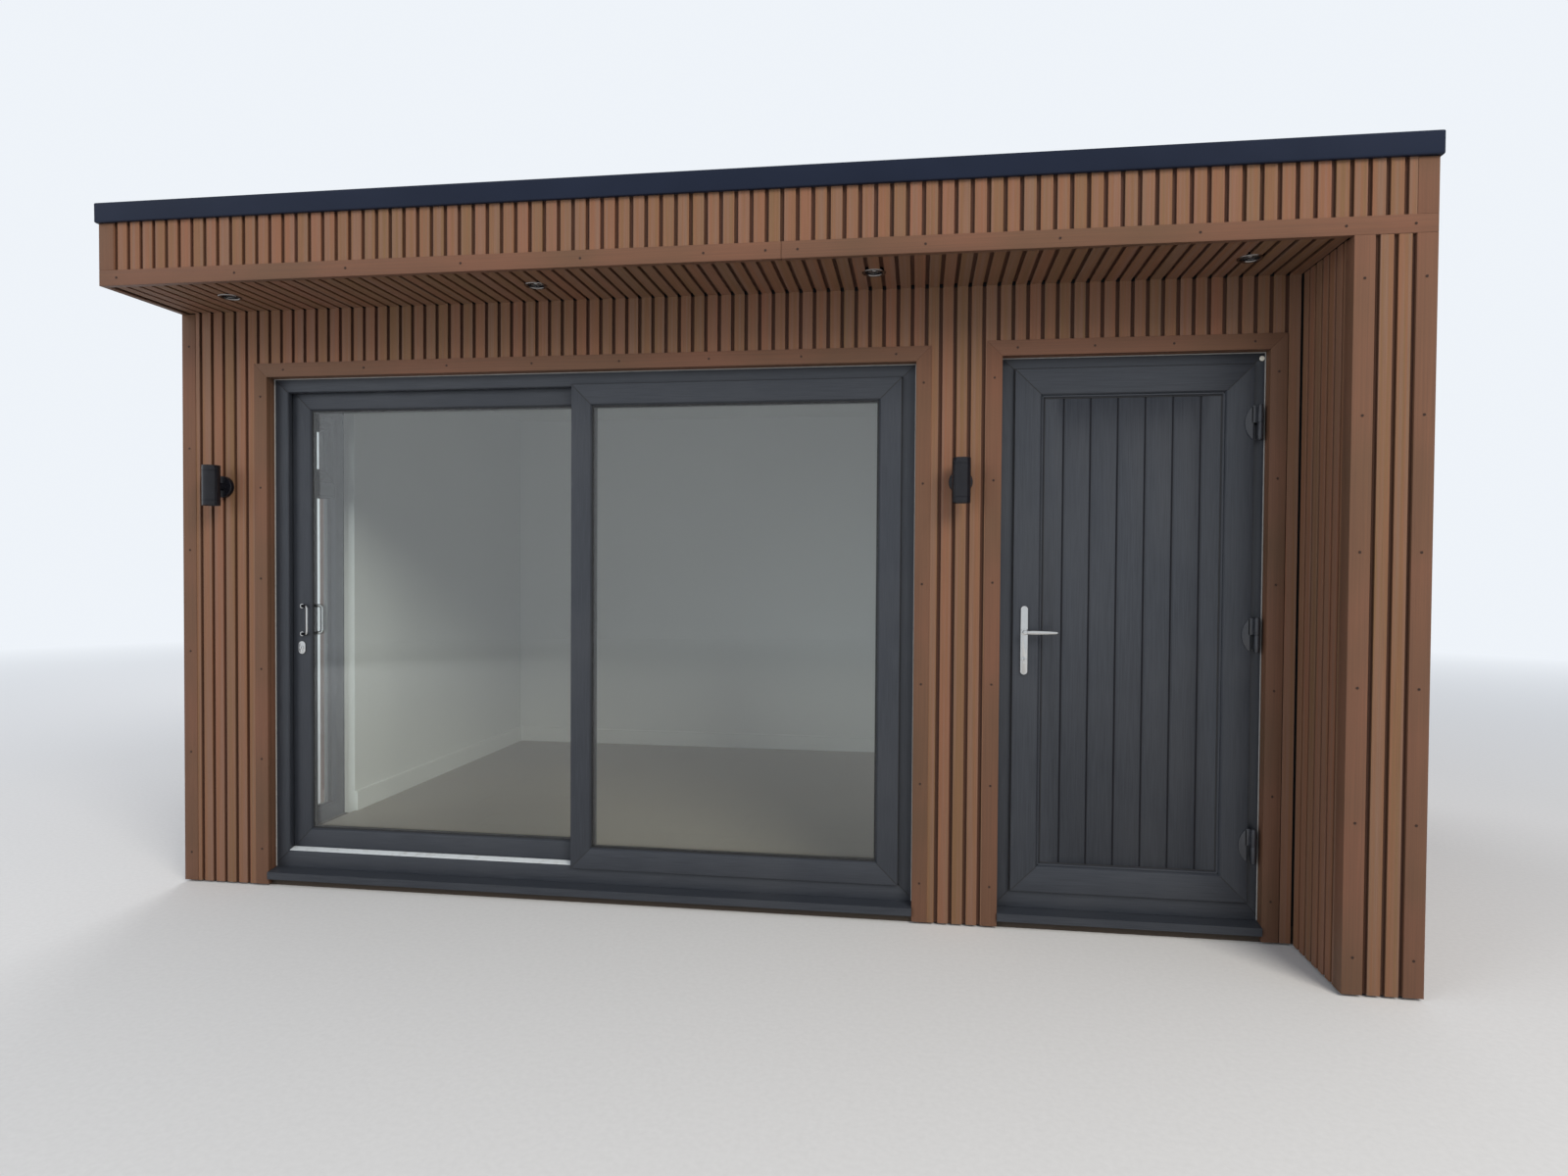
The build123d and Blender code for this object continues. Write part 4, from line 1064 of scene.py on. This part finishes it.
grey_sealant, place, shader = start_finish("grey_sealant")
tooling = noise(place, 70.0, 3.0)
colour = between(tooling, (0.20, 0.19, 0.18), (0.33, 0.32, 0.30))
cover(shader, colour, 0.45 + tooling * 0.2, tooling, 0.4, 0.001)
sealant_w = 0.003
sealant_slope = 0.0024
sealant_in = architrave_w - 0.0002
for name, trim, face_at in (("slide_door_sealant", slide_trim, sy1),
                            ("store_door_sealant", store_trim, ty1)):
    sealant = mitred_frame(name, (trim[0].x + sealant_in, face_at - sealant_w, sz1 + 0.001),
                           (trim[1].x - sealant_in, face_at, trim[1].z - sealant_in),
                           (sealant_w, 0, sealant_w), grey_sealant, slope=sealant_slope)
    fit(sealant)

# plank panel: V grooves with a fine bead along one side, on both faces
panel_x1, panel_x2 = lx1 + leaf_face, lx2 - leaf_face
panel_z1, panel_z2 = lz1 + leaf_face, lz2 - leaf_face
panel_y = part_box("store_panel")[0].y
panel_t = 0.028
plank_pitch = 0.092
groove_half = 0.0045
groove_deep = 0.004
fine_bead = 0.0016
fine_deep = 0.0012
panel = block("store_planks", (panel_x1, panel_y, panel_z1), (panel_x2, panel_y + panel_t, panel_z2))
groove_middles = [(panel_x1 + panel_x2) / 2 + plank_pitch * (i - 2.5) for i in range(6)]
open_mesh(panel)
for middle in groove_middles:
    for line in (-groove_half, 0, groove_half, groove_half + fine_bead, groove_half + 2 * fine_bead):
        score((middle + line, 0, 0), (1, 0, 0))
for face_at, way in ((panel_y, 1), (panel_y + panel_t, -1)):
    for offset, deep in ((0, groove_deep), (groove_half + fine_bead, fine_deep)):
        lines = [middle + offset for middle in groove_middles]
        pick(panel, "edges", lambda c, d: abs(c.y - face_at) < near and abs(d.z) > 0.9
             and any(abs(c.x - x) < near for x in lines))
        shift(0, way * deep, 0)
close_mesh()
half_t = panel_t / 2
# painted shade in the plank grooves, from the foil's hollow
paint(panel, foil_finish("panel_foil", 2, (panel_y + half_t, half_t, groove_deep * 0.6)))
soften(panel, 0.0005, segments=1)
fit(panel, "store_panel", "store_door")

# the bead that holds the panel, and the black gasket inside it
bead_h = 0.006
bead_w = 0.009
bead_bevel = 0.005
bead_round = 0.0006
panel_gasket_w = 0.0035
panel_gasket_t = 0.0016
panel_gasket_slope = 0.001
# painted shade on the bead's bevel, from the foil's hollow
bead_foil = [foil_finish("bead_foil_" + "xyz"[i], i, (panel_y, bead_h, bead_bevel)) for i in (2, 0)]
bead = mitred_frame("store_panel_bead", (panel_x1, panel_y - bead_h, panel_z1),
                    (panel_x2, panel_y, panel_z2), bead_w, tuple(bead_foil), slope=bead_bevel)
soften(bead, bead_round)
fit(bead, None, "store_door")
gasket_at = bead_w - 0.001
panel_gasket = mitred_frame(
    "store_panel_gasket", (panel_x1 + gasket_at, panel_y - panel_gasket_t, panel_z1 + gasket_at),
    (panel_x2 - gasket_at, panel_y, panel_z2 - gasket_at), panel_gasket_w, gasket_rubber,
    slope=panel_gasket_slope)
fit(panel_gasket, None, "store_door")


# Side window: a tall frame of the same foil with a transom, a top-hung fanlight
# over it and a fixed pane below. It is made facing the front and turned left.
low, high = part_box("window_frame")
vx1, vx2, vy1, vy2, vz1, vz2 = -high.y, -low.y, low.x, high.x, low.z, high.z
low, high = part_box("fanlight")
nx1, nx2, ny1, ny2, nz1, nz2 = -high.y, -low.y, low.x, high.x, low.z, high.z
window_face = 0.062
window_slope = 0.008
window_round = 0.0009
transom_h = 0.075
transom_low = nz1 - transom_h
fan_face = 0.048
fan_slope = 0.007
transom = block("transom", (vx1 + window_face, vy1, transom_low), (vx2 - window_face, vy2, nz1))
open_mesh(transom)
pick(transom, "edges", lambda c, d: abs(d.x) > 0.9)
bpy.ops.mesh.bevel(offset=window_slope, segments=1, affect="EDGES")
close_mesh()
window_surround = join("window_surround", [
    mitred_frame("window_ring", (vx1, vy1, vz1), (vx2, vy2, vz2), window_face, foil_frame,
                 slope=window_slope, slope_back=window_slope),
    paint(transom, foil[0]),
])
fan_sash = mitred_frame("fanlight_sash", (nx1, ny1, nz1), (nx2, ny2, nz2), fan_face, foil_frame,
                        slope=fan_slope, slope_back=fan_slope)
for piece, cad_node in ((window_surround, "window_frame"), (fan_sash, "fanlight")):
    soften(piece, window_round)
    settle(piece, turn=facing_left)
    fit(piece, cad_node)
pane_x = vy1 + (vy2 - vy1 - unit_t) / 2
glaze("side_window_lower", vx1 + window_face, vx2 - window_face, vz1 + window_face, transom_low,
      pane_x, "window_glass", turned=True)
glaze("side_window_upper", nx1 + fan_face, nx2 - fan_face, nz1 + fan_face, nz2 - fan_face,
      pane_x, turned=True)
for name, finish in (("slide_sill", foil[0]), ("store_sill", foil[0]), ("window_sill", foil[1])):
    node[name].data.materials[0] = finish


# Room: painted lining boards, a pale laid floor, painted skirting and ceiling.
# The walls' cores are lined inside and wrapped in black membrane outside.
room_x, room_y1, room_y2 = 2.080, -1.190, 1.570


def lining_finish(name, core=False):
    """Matt white paint put on with a roller. A wall's core has it only where it
    faces the room, and black membrane elsewhere."""
    material, place, shader = start_finish(name)
    roller = noise(place, 260.0, 3.0)
    colour = between(noise(place, 1.1, 2.0), (0.70, 0.70, 0.68), (0.76, 0.76, 0.74))
    if core:
        side, deep = place.node("SeparateXYZ", None, {0: place}, (0, 1))
        within = place.math("LESS_THAN", place.math("ABSOLUTE", side), room_x)
        within = within * place.math("GREATER_THAN", deep, room_y1)
        within = within * place.math("LESS_THAN", deep, room_y2)
        membrane = between(roller, (0.010, 0.010, 0.011), (0.020, 0.020, 0.021))
        colour = between(within, membrane, colour)
    cover(shader, colour, 0.72 + roller * 0.15, roller, 0.2, 0.0008)
    return material


node["ceiling"].data.materials[0] = lining_finish("white_lining")
lined_wall = lining_finish("lined_wall", core=True)
for name in node:
    if name.endswith("_wall") or "_wall_" in name:
        node[name].data.materials[0] = lined_wall
white_gloss = speckled("white_gloss", 90.0, 2.0, (0.74, 0.74, 0.72), (0.79, 0.79, 0.77), 0.28, 0.12)
node["skirting"].data.materials[0] = white_gloss

# floor boards with printed oak grain, in rows that start at chance places
plank_w = 0.190
plank_l = 1.29
laid_floor, place, shader = start_finish("laid_floor")
across, along = place.node("SeparateXYZ", None, {0: place}, (0, 1))
row = place.math("FLOOR", along / plank_w)
stagger = toss(row)
plank = row * 17.0 + place.math("FLOOR", across / plank_l + stagger)
grain = noise(join_axes(across * 4.0, along * 120.0, plank * 3.7), 1.0, 5.0)
side_seam = place.math("PINGPONG", along, plank_w / 2)
end_seam = place.math("PINGPONG", across + stagger * plank_l, plank_l / 2)
seam = ramp(place.math("MINIMUM", side_seam, end_seam), 0.0004, 0.0016, 0.6, 0.0)
colour = between(grain, (0.200, 0.172, 0.135), (0.330, 0.290, 0.235))
colour = between(toss(plank) * 0.35, colour, (0.26, 0.215, 0.165))
colour = between(seam, colour, (0.05, 0.04, 0.03))
cover(shader, colour, 0.36 + grain * 0.2, grain - seam, 0.3, 0.0006)
node["floor_finish"].data.materials[0] = laid_floor

# treated timber of the decks, darkened both as dirt and as painted shade for the shadow it lies in under
# the sills
timber_dirt_and_shade, place, shader = start_finish("timber_dirt_and_shade")
rings = drawn_out(place, 0, 90.0, 5.0, 4.0)
cover(shader, between(rings, (0.034, 0.025, 0.018), (0.068, 0.050, 0.036)), 0.7 + rings * 0.2)
for name in ("floor_deck", "roof_deck"):
    node[name].data.materials[0] = timber_dirt_and_shade


# Pull handles of the sliding door: a chromed bow on two round feet that leans
# over the glass, and an oval plate round the lock cylinder, on both faces.
def polished_finish(name, tint, rough):
    """Plated metal, mirror bright, with finger marks and fine wiping scratches."""
    material, place, shader = start_finish(name)
    shader.inputs["Metallic"].default_value = 1.0
    smear = noise(place, 60.0, 3.0)
    wiped = drawn_out(place, 2, 900.0, 40.0, 2.0)
    colour = between(smear, [c * 0.9 for c in tint], tint)
    cover(shader, colour, ramp(smear, 0.50, 0.75, rough, rough + 0.12) + wiped * 0.03)
    return material


chrome = polished_finish("polished_chrome", (0.58, 0.58, 0.57), 0.05)
keyhole_black = speckled("keyhole_black", 400.0, 2.0, (0.004, 0.004, 0.004), (0.015, 0.014, 0.012),
                         0.45, 0.2)


def round_plate(name, x, y, z, half_w, half_h, outward, thick, bevel, crown=0.0):
    """Upright plate with round ends on a face at y, its rim rounded and its
    finish chrome. crown raises the field inside the rim."""
    front = y + outward * thick
    piece = rod(name, (x, y + outward * thick / 2, z), half_w, thick, 32, to_front)
    open_mesh(piece)
    for way in (-1, 1):
        pick(piece, "verts", lambda c, n: (c.z - z) * way > near)
        shift(0, 0, way * (half_h - half_w))
    pick(piece, "edges", lambda c, d: abs(c.y - front) < near)
    bpy.ops.mesh.bevel(offset=bevel, segments=3, affect="EDGES")
    if crown:
        pick(piece, "faces", lambda c, n: n.y * outward > 0.99 and abs(c.y - front) < near)
        for inset, rise in ((0.0015, -crown), (0.0012, crown)):
            bpy.ops.mesh.inset(thickness=inset)
            shift(0, outward * rise, 0)
    close_mesh()
    smooth(piece)
    return paint(piece, chrome)


barrel_r, barrel_t, barrel_rim = 0.0085, 0.0028, 0.0006
tail_r, tail_half, tail_t, tail_rim = 0.0050, 0.00975, 0.0026, 0.0005
plug_r, plug_t, plug_rim = 0.0062, 0.0004, 0.00015
slot_r, slot_half, slot_t, slot_rim = 0.0009, 0.0044, 0.0001, 0.00003


def lock_cylinder(x, y, z, outward):
    """Face of a lock cylinder: a round barrel over a narrow tail, with the ring
    of the plug and the slot for the key."""
    front = y + outward * barrel_t
    slot = round_plate("slot", x, front + outward * plug_t, z, slot_r, slot_half, outward, slot_t,
                       slot_rim)
    return [
        round_plate("barrel", x, y, z, barrel_r, barrel_r, outward, barrel_t, barrel_rim),
        round_plate("tail", x, y, z - tail_half, tail_r, tail_half, outward, tail_t, tail_rim),
        round_plate("plug", x, front, z, plug_r, plug_r, outward, plug_t, plug_rim),
        paint(slot, keyhole_black),
    ]


def start_bar(name, place, tall, deep):
    """Oval face across X, open and selected, from which a bar is drawn out."""
    bpy.ops.object.select_all(action="DESELECT")
    bpy.ops.mesh.primitive_circle_add(vertices=24, radius=0.5, fill_type="NGON", location=place,
                                      rotation=(0, math.radians(90), 0))
    piece = bpy.context.object
    piece.name = name
    piece.scale = (tall, deep, 1)
    settle(piece)
    open_mesh(piece)
    bpy.ops.mesh.select_all(action="SELECT")
    return piece


pull_z = 1.055
pull_half = 0.056
pull_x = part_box("pull_outer")[0].x + 0.015
pull_w = 0.013
pull_t = 0.009
pull_side = 0.038
pull_out = 0.0255
pull_turn_r = 0.013
foot_r, foot_rim = 0.010, 0.0018
rose_r, rose_half, rose_t = 0.015, 0.026, 0.006
rose_rim, rose_crown = 0.0016, 0.0004
cylinder_drop = 0.111
cylinder_z = pull_z - cylinder_drop


def bow_pull(name, y, outward, cad_node):
    """Bow bent flat from one bar, then leant over on its feet."""
    straight = math.hypot(pull_side, pull_out) - pull_turn_r
    rise = pull_half - pull_turn_r
    bow = start_bar("bow", (0, 0, -pull_half), pull_w, pull_t)
    push(straight, 0, 0)
    for bend_z, onward in ((-rise, (0, 0, 2 * rise)), (rise, (-straight, 0, 0))):
        bpy.ops.mesh.spin(steps=8, angle=math.radians(90), center=(straight, 0, bend_z), axis=(0, 1, 0))
        push(*onward)
    close_mesh(turn_out=True)
    settle(bow, (pull_x, y + outward * pull_t / 2, pull_z),
           (0, 0, math.atan2(outward * pull_out, pull_side)))
    smooth(bow)
    parts = [round_plate("foot", pull_x, y, pull_z + way * pull_half, foot_r, foot_r, outward,
                         rose_t, foot_rim) for way in (-1, 1)]
    parts.append(paint(bow, chrome))
    parts.append(round_plate("oval", pull_x, y, cylinder_z, rose_r, rose_half, outward, rose_t,
                             rose_rim, rose_crown))
    parts += lock_cylinder(pull_x, y + outward * rose_t, cylinder_z, outward)
    fit(join(name, parts), cad_node, "sliding_door")


bow_pull("outer_pull", my1, -1, "pull_outer")
bow_pull("inner_pull", my2, 1, "pull_inner")


# Lever handles of the store door: long chromed plates with round ends, a round
# neck and a lever that thins towards its tip, on both faces of the leaf.
low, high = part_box("lever_plates")
plate_x, plate_z = (low.x + high.x) / 2, (low.z + high.z) / 2
plate_half = (high.z - low.z) / 2
plate_r, plate_t = 0.0132, 0.008
plate_rim, plate_crown = 0.0022, 0.0005
lever_z = 1.054
lock_drop = 0.096
collar_r, collar_t, collar_rim = 0.0118, 0.0016, 0.0007
neck_r, neck_round = 0.008, 0.0016
neck_start = 0.0018
neck_past = 0.0062
grip_out = 0.038
grip_below = math.radians(50)
grip_start = (0.0, 0.0125, 0.0100)
grip_sections = [(0.010, 0.0145, 0.0110), (0.026, 0.0170, 0.0120), (0.060, 0.0152, 0.0104),
                 (0.092, 0.0120, 0.0084), (0.106, 0.0100, 0.0074), (0.1110, 0.0074, 0.0056),
                 (0.1125, 0.0042, 0.0030)]
plate_parts = []
lever_parts = []
for y, outward in ((ly1, -1), (ly2, 1)):
    plate_face = y + outward * plate_t
    plate_parts.append(round_plate("plate", plate_x, y, plate_z, plate_r, plate_half, outward,
                                   plate_t, plate_rim, plate_crown))
    plate_parts += lock_cylinder(plate_x, plate_face, lever_z - lock_drop, outward)
    plate_parts.append(round_plate("collar", plate_x, plate_face, lever_z, collar_r, collar_r,
                                   outward, collar_t, collar_rim))
    grip_y = y + outward * grip_out
    neck_y1, neck_y2 = plate_face + outward * neck_start, grip_y + outward * neck_past
    neck = rod("neck", (plate_x, (neck_y1 + neck_y2) / 2, lever_z), neck_r, abs(neck_y2 - neck_y1),
               turn=to_front)
    soften(neck, neck_round, segments=3)
    at, tall, deep = grip_start
    grip = start_bar("grip", (plate_x, grip_y, lever_z), tall, deep)
    for x, new_tall, new_deep in grip_sections:
        push(x - at, 0, 0)
        bpy.ops.transform.resize(value=(1, new_deep / deep, new_tall / tall),
                                 center_override=(plate_x + x, grip_y, lever_z))
        at, tall, deep = x, new_tall, new_deep
    close_mesh(turn_out=True)
    smooth(grip, grip_below)
    lever_parts += [paint(neck, chrome), paint(grip, chrome)]
fit(join("store_lever_plates", plate_parts), "lever_plates", "store_door")
fit(join("store_lever_pair", lever_parts), "store_levers", "lever")


# Hinges of the store door: flag hinges painted like the frame. The frame's half
# carries the pin, and the leaf's half has a flag with a curved edge.
door_paint, place, shader = start_finish("door_paint")
mottle = noise(place, 30.0, 2.0)
peel = noise(place, 700.0, 2.0)
colour = between(mottle, (0.020, 0.022, 0.027), (0.030, 0.032, 0.038))
cover(shader, colour, 0.14 + peel * 0.08, peel, 0.2, 0.0002)


def pin(name, x, y, z1, z2, radius, segments=32):
    """Upright round bar between two heights."""
    return rod(name, (x, y, (z1 + z2) / 2), radius, z2 - z1, segments)


hinge_r = 0.009
cap_r = hinge_r * 0.8
cap_out, cap_in = 0.0025, 0.001
pin_r = 0.004
pin_sunk, pin_short = 0.004, 0.002
hinge_h = 0.115
hinge_half = hinge_h / 2
hinge_gap = 0.0003
hinge_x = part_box("hinges_leaf")[1].x - hinge_r
hinge_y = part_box("hinges_leaf")[0].y + hinge_r
hinge_round = 0.0012
flag_in = 0.005
flag_x = lx2 - flag_in
flag_w = 0.026
flag_t = 0.004
arm_half = 0.004
flag_r = (hinge_half ** 2 + flag_w ** 2) / (2 * flag_w)
frame_halves = []
leaf_halves = []
for z in spread(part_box("hinges_frame")[0].z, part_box("hinges_leaf")[1].z - hinge_h, 3):
    seat = z + hinge_half
    below = seat - hinge_gap
    top = z + hinge_h
    frame_halves += [
        pin("barrel", hinge_x, hinge_y, z, below, hinge_r),
        pin("cap", hinge_x, hinge_y, z - cap_out, z + cap_in, cap_r),
        pin("pin", hinge_x, hinge_y, seat - pin_sunk, top - pin_short, pin_r, 16),
        block("arm", (hinge_x - arm_half, hinge_y, z), (hinge_x + arm_half, ty1, below)),
        block("plate", (lx2 + flag_in, ty1 - flag_t, z), (hinge_x + 2 * hinge_r, ty1, below)),
    ]
    flag = rod("flag", (flag_x - flag_w + flag_r, ly1 - flag_t / 2, seat), flag_r, flag_t, 120,
               to_front)
    cut(flag, (flag_x, 0, 0), (1, 0, 0))
    leaf_halves += [
        flag,
        pin("barrel", hinge_x, hinge_y, seat, top, hinge_r),
        pin("cap", hinge_x, hinge_y, top - cap_in, top + cap_out, cap_r),
        block("arm", (flag_x - flag_t, ly1 - flag_t, seat), (hinge_x, ly1, top)),
        block("web", (hinge_x - hinge_r, hinge_y, seat), (hinge_x, ly1, top)),
    ]
for parts, name, cad_node, body in (
        (frame_halves, "hinge_frame_halves", "hinges_frame", "building"),
        (leaf_halves, "hinge_leaf_halves", "hinges_leaf", "store_door")):
    half = join(name, [paint(part, door_paint) for part in parts])
    soften(half, hinge_round)
    fit(half, cad_node, body)

# cream plug over a fixing in the frame's top corner, on a black ring that is painted shadow beneath the
# plug
cream_plastic = speckled("cream_plastic", 160.0, 2.0, (0.62, 0.58, 0.48), (0.72, 0.69, 0.60),
                         0.35, 0.15)
plug_x, plug_z = tx2 - 0.025, tz2 - 0.034
plug_parts = []
for radius, thick, rounding, segments, finish in ((0.0088, 0.003, 0.0012, 3, cream_plastic),
                                                  (0.0112, 0.0012, 0.0004, 2, gasket_rubber)):
    part = rod("plug", (plug_x, ty1 - thick / 2, plug_z), radius, thick, 32, to_front)
    soften(part, rounding, segments)
    plug_parts.append(paint(part, finish))
fit(join("corner_plug", plug_parts))


# Wall lights: black aluminium tubes on round bases that shine up and down, with
# a seam round each end and a lens sunk in it.
lamp_black, place, shader = start_finish("lamp_black")
shader.inputs["Specular IOR Level"].default_value = 0.30
powder = noise(place, 1400.0, 2.0)
colour = between(noise(place, 25.0, 3.0), (0.004, 0.004, 0.006), (0.010, 0.010, 0.013))
cover(shader, colour, 0.20 + powder * 0.12, powder, 0.2, 0.0002)
frosted_lens = speckled("frosted_lens", 900.0, 2.0, (0.62, 0.63, 0.62), (0.72, 0.73, 0.72), 0.25, 0.2)

low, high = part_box("wall_lights")
lamp_r = 0.032
lamp_out = 0.072
lamp_y = front_y - lamp_out
lamp_z = (low.z + high.z) / 2
lamp_half = (high.z - low.z) / 2
seam_in = 0.020
seam_half = 0.0007
seam_narrow = 0.965
end_wall, end_deep, end_round = 0.003, 0.022, 0.0007
lens_in = 0.012
lens_r, lens_t, lens_round = 0.0286, 0.003, 0.0006
rim_r, rim_t, rim_w = 0.0290, 0.005, 0.0025
stem_r = 0.015
base_r, base_t, base_rim = 0.042, 0.018, 0.0025
base_face = front_y - base_t
lamp_parts = []
for x in (low.x + base_r, high.x - base_r):
    tube = pin("tube", x, lamp_y, low.z, high.z, lamp_r, 64)
    open_mesh(tube)
    for way in (-1, 1):
        seam_z = lamp_z + way * (lamp_half - seam_in)
        for offset in (-seam_half, 0, seam_half):
            score((0, 0, seam_z + offset), (0, 0, 1))
        pick(tube, "verts", lambda c, n: abs(c.z - seam_z) < near)
        bpy.ops.transform.resize(value=(seam_narrow, seam_narrow, 1), center_override=(x, lamp_y, seam_z))
        pick(tube, "faces", lambda c, n: n.z * way > 0.99)
        bpy.ops.mesh.inset(thickness=end_wall)
        push(0, 0, -way * end_deep)
    pick(tube, "edges", lambda c, d: abs(abs(c.z - lamp_z) - lamp_half) < near)
    bpy.ops.mesh.bevel(offset=end_round, segments=2, affect="EDGES")
    close_mesh()
    base = round_plate("base", x, front_y, lamp_z, base_r, base_r, -1, base_t, base_rim)
    stem = rod("stem", (x, (base_face + lamp_y) / 2, lamp_z), stem_r, base_face - lamp_y, 32, to_front)
    for part in (tube, base, stem):
        smooth(part)
        lamp_parts.append(paint(part, lamp_black))
    for way in (-1, 1):
        lens_z = lamp_z + way * (lamp_half - lens_in)
        lens = rod("lens", (x, lamp_y, lens_z), lens_r, lens_t)
        soften(lens, lens_round)
        rim = rod("rim", (x, lamp_y, lens_z), rim_r, rim_t)
        open_mesh(rim)
        pick(rim, "faces", lambda c, n: abs(n.z) > 0.99)
        bpy.ops.mesh.inset(thickness=rim_w)
        bpy.ops.mesh.bridge_edge_loops()
        close_mesh()
        lamp_parts += [paint(lens, frosted_lens), paint(rim, lamp_black)]
fit(join("tube_lights", lamp_parts), "wall_lights")


# Soffit lights: recessed lamps with a chromed ring below the boards, its colour painted
# dark for the dark surroundings it reflects, a dark can over it and a small reflector lamp, switched off.
lamp_glint = speckled("lamp_glint", 500.0, 2.0, (0.030, 0.030, 0.032), (0.075, 0.075, 0.076), 0.08, 0.1)
lamp_glint.node_tree.nodes["Principled BSDF"].inputs["Coat Weight"].default_value = 1.0
# painted reflection: the chromed ring's colour is set dark to stand for the dark surroundings it mirrors
dark_reflecting_ring = polished_finish("chrome_ring_dark_reflection", (0.24, 0.22, 0.21), 0.14)

# the ring's section, from its seat in the boards round to inside the can
ring_profile = [(0.0333, 0.0), (0.0400, 0.0), (0.0400, -0.0010), (0.0388, -0.0028), (0.0362, -0.0040),
                (0.0335, -0.0038), (0.0310, -0.0022), (0.0292, 0.0020), (0.0285, 0.0060)]
at = ring_profile[0]
bpy.ops.object.select_all(action="DESELECT")
bpy.ops.mesh.primitive_plane_add(size=0.001, location=(at[0], 0, at[1]))
soffit_ring = bpy.context.object
soffit_ring.name = "soffit_ring"
settle(soffit_ring)
open_mesh(soffit_ring)
bpy.ops.mesh.select_mode(type="VERT")
bpy.ops.mesh.select_all(action="SELECT")
bpy.ops.mesh.merge(type="CENTER")
for r, z in ring_profile[1:]:
    push(r - at[0], 0, z - at[1])
    at = (r, z)
bpy.ops.mesh.select_all(action="SELECT")
bpy.ops.mesh.spin(steps=48, angle=math.radians(360), center=(0, 0, 0), axis=(0, 0, 1))
bpy.ops.mesh.select_all(action="SELECT")
bpy.ops.mesh.remove_doubles(threshold=near)
close_mesh(turn_out=True)
smooth(soffit_ring)
paint(soffit_ring, dark_reflecting_ring)


def turned_lamp_part(name, x, z1, z2, radius, steps, depth):
    """Upright round part over the ring whose lower face is stepped inwards, each
    step an inset and a rise, and then drawn up or down by a depth."""
    part = pin(name, x, soffit_light_y, soffit_z + z1, soffit_z + z2, radius, 48)
    open_mesh(part)
    pick(part, "faces", lambda c, n: n.z < -0.99)
    for inset, rise in steps:
        bpy.ops.mesh.inset(thickness=inset)
        shift(0, 0, rise)
    push(0, 0, depth)
    close_mesh()
    smooth(part)
    return part


soffit_parts = []
for x in soffit_light_places:
    ring = copy_of(soffit_ring, (x, soffit_light_y, soffit_z))
    can = turned_lamp_part("can", x, 0.0005, 0.022, 0.033, [(0.0042, 0)], 0.0115)
    bulb = turned_lamp_part("bulb", x, 0.0065, 0.0125, 0.0250,
                            [(0.003, 0.0010), (0.009, 0.0022), (0.006, 0)], -0.0024)
    # the lamp's frosted lens, made pale also as a painted glint at the middle of the lamp
    lens_with_painted_glint = pin("lens_with_painted_glint", x, soffit_light_y, soffit_z + 0.0055, soffit_z + 0.0085, 0.0062, 24)
    soften(lens_with_painted_glint, 0.0012)
    soffit_parts += [ring, paint(can, lamp_black), paint(bulb, lamp_glint), paint(lens_with_painted_glint, frosted_lens)]
recessed_lights = join("recessed_lights", soffit_parts)
settle(recessed_lights)
bpy.data.objects.remove(soffit_ring)
fit(recessed_lights, "soffit_lights")
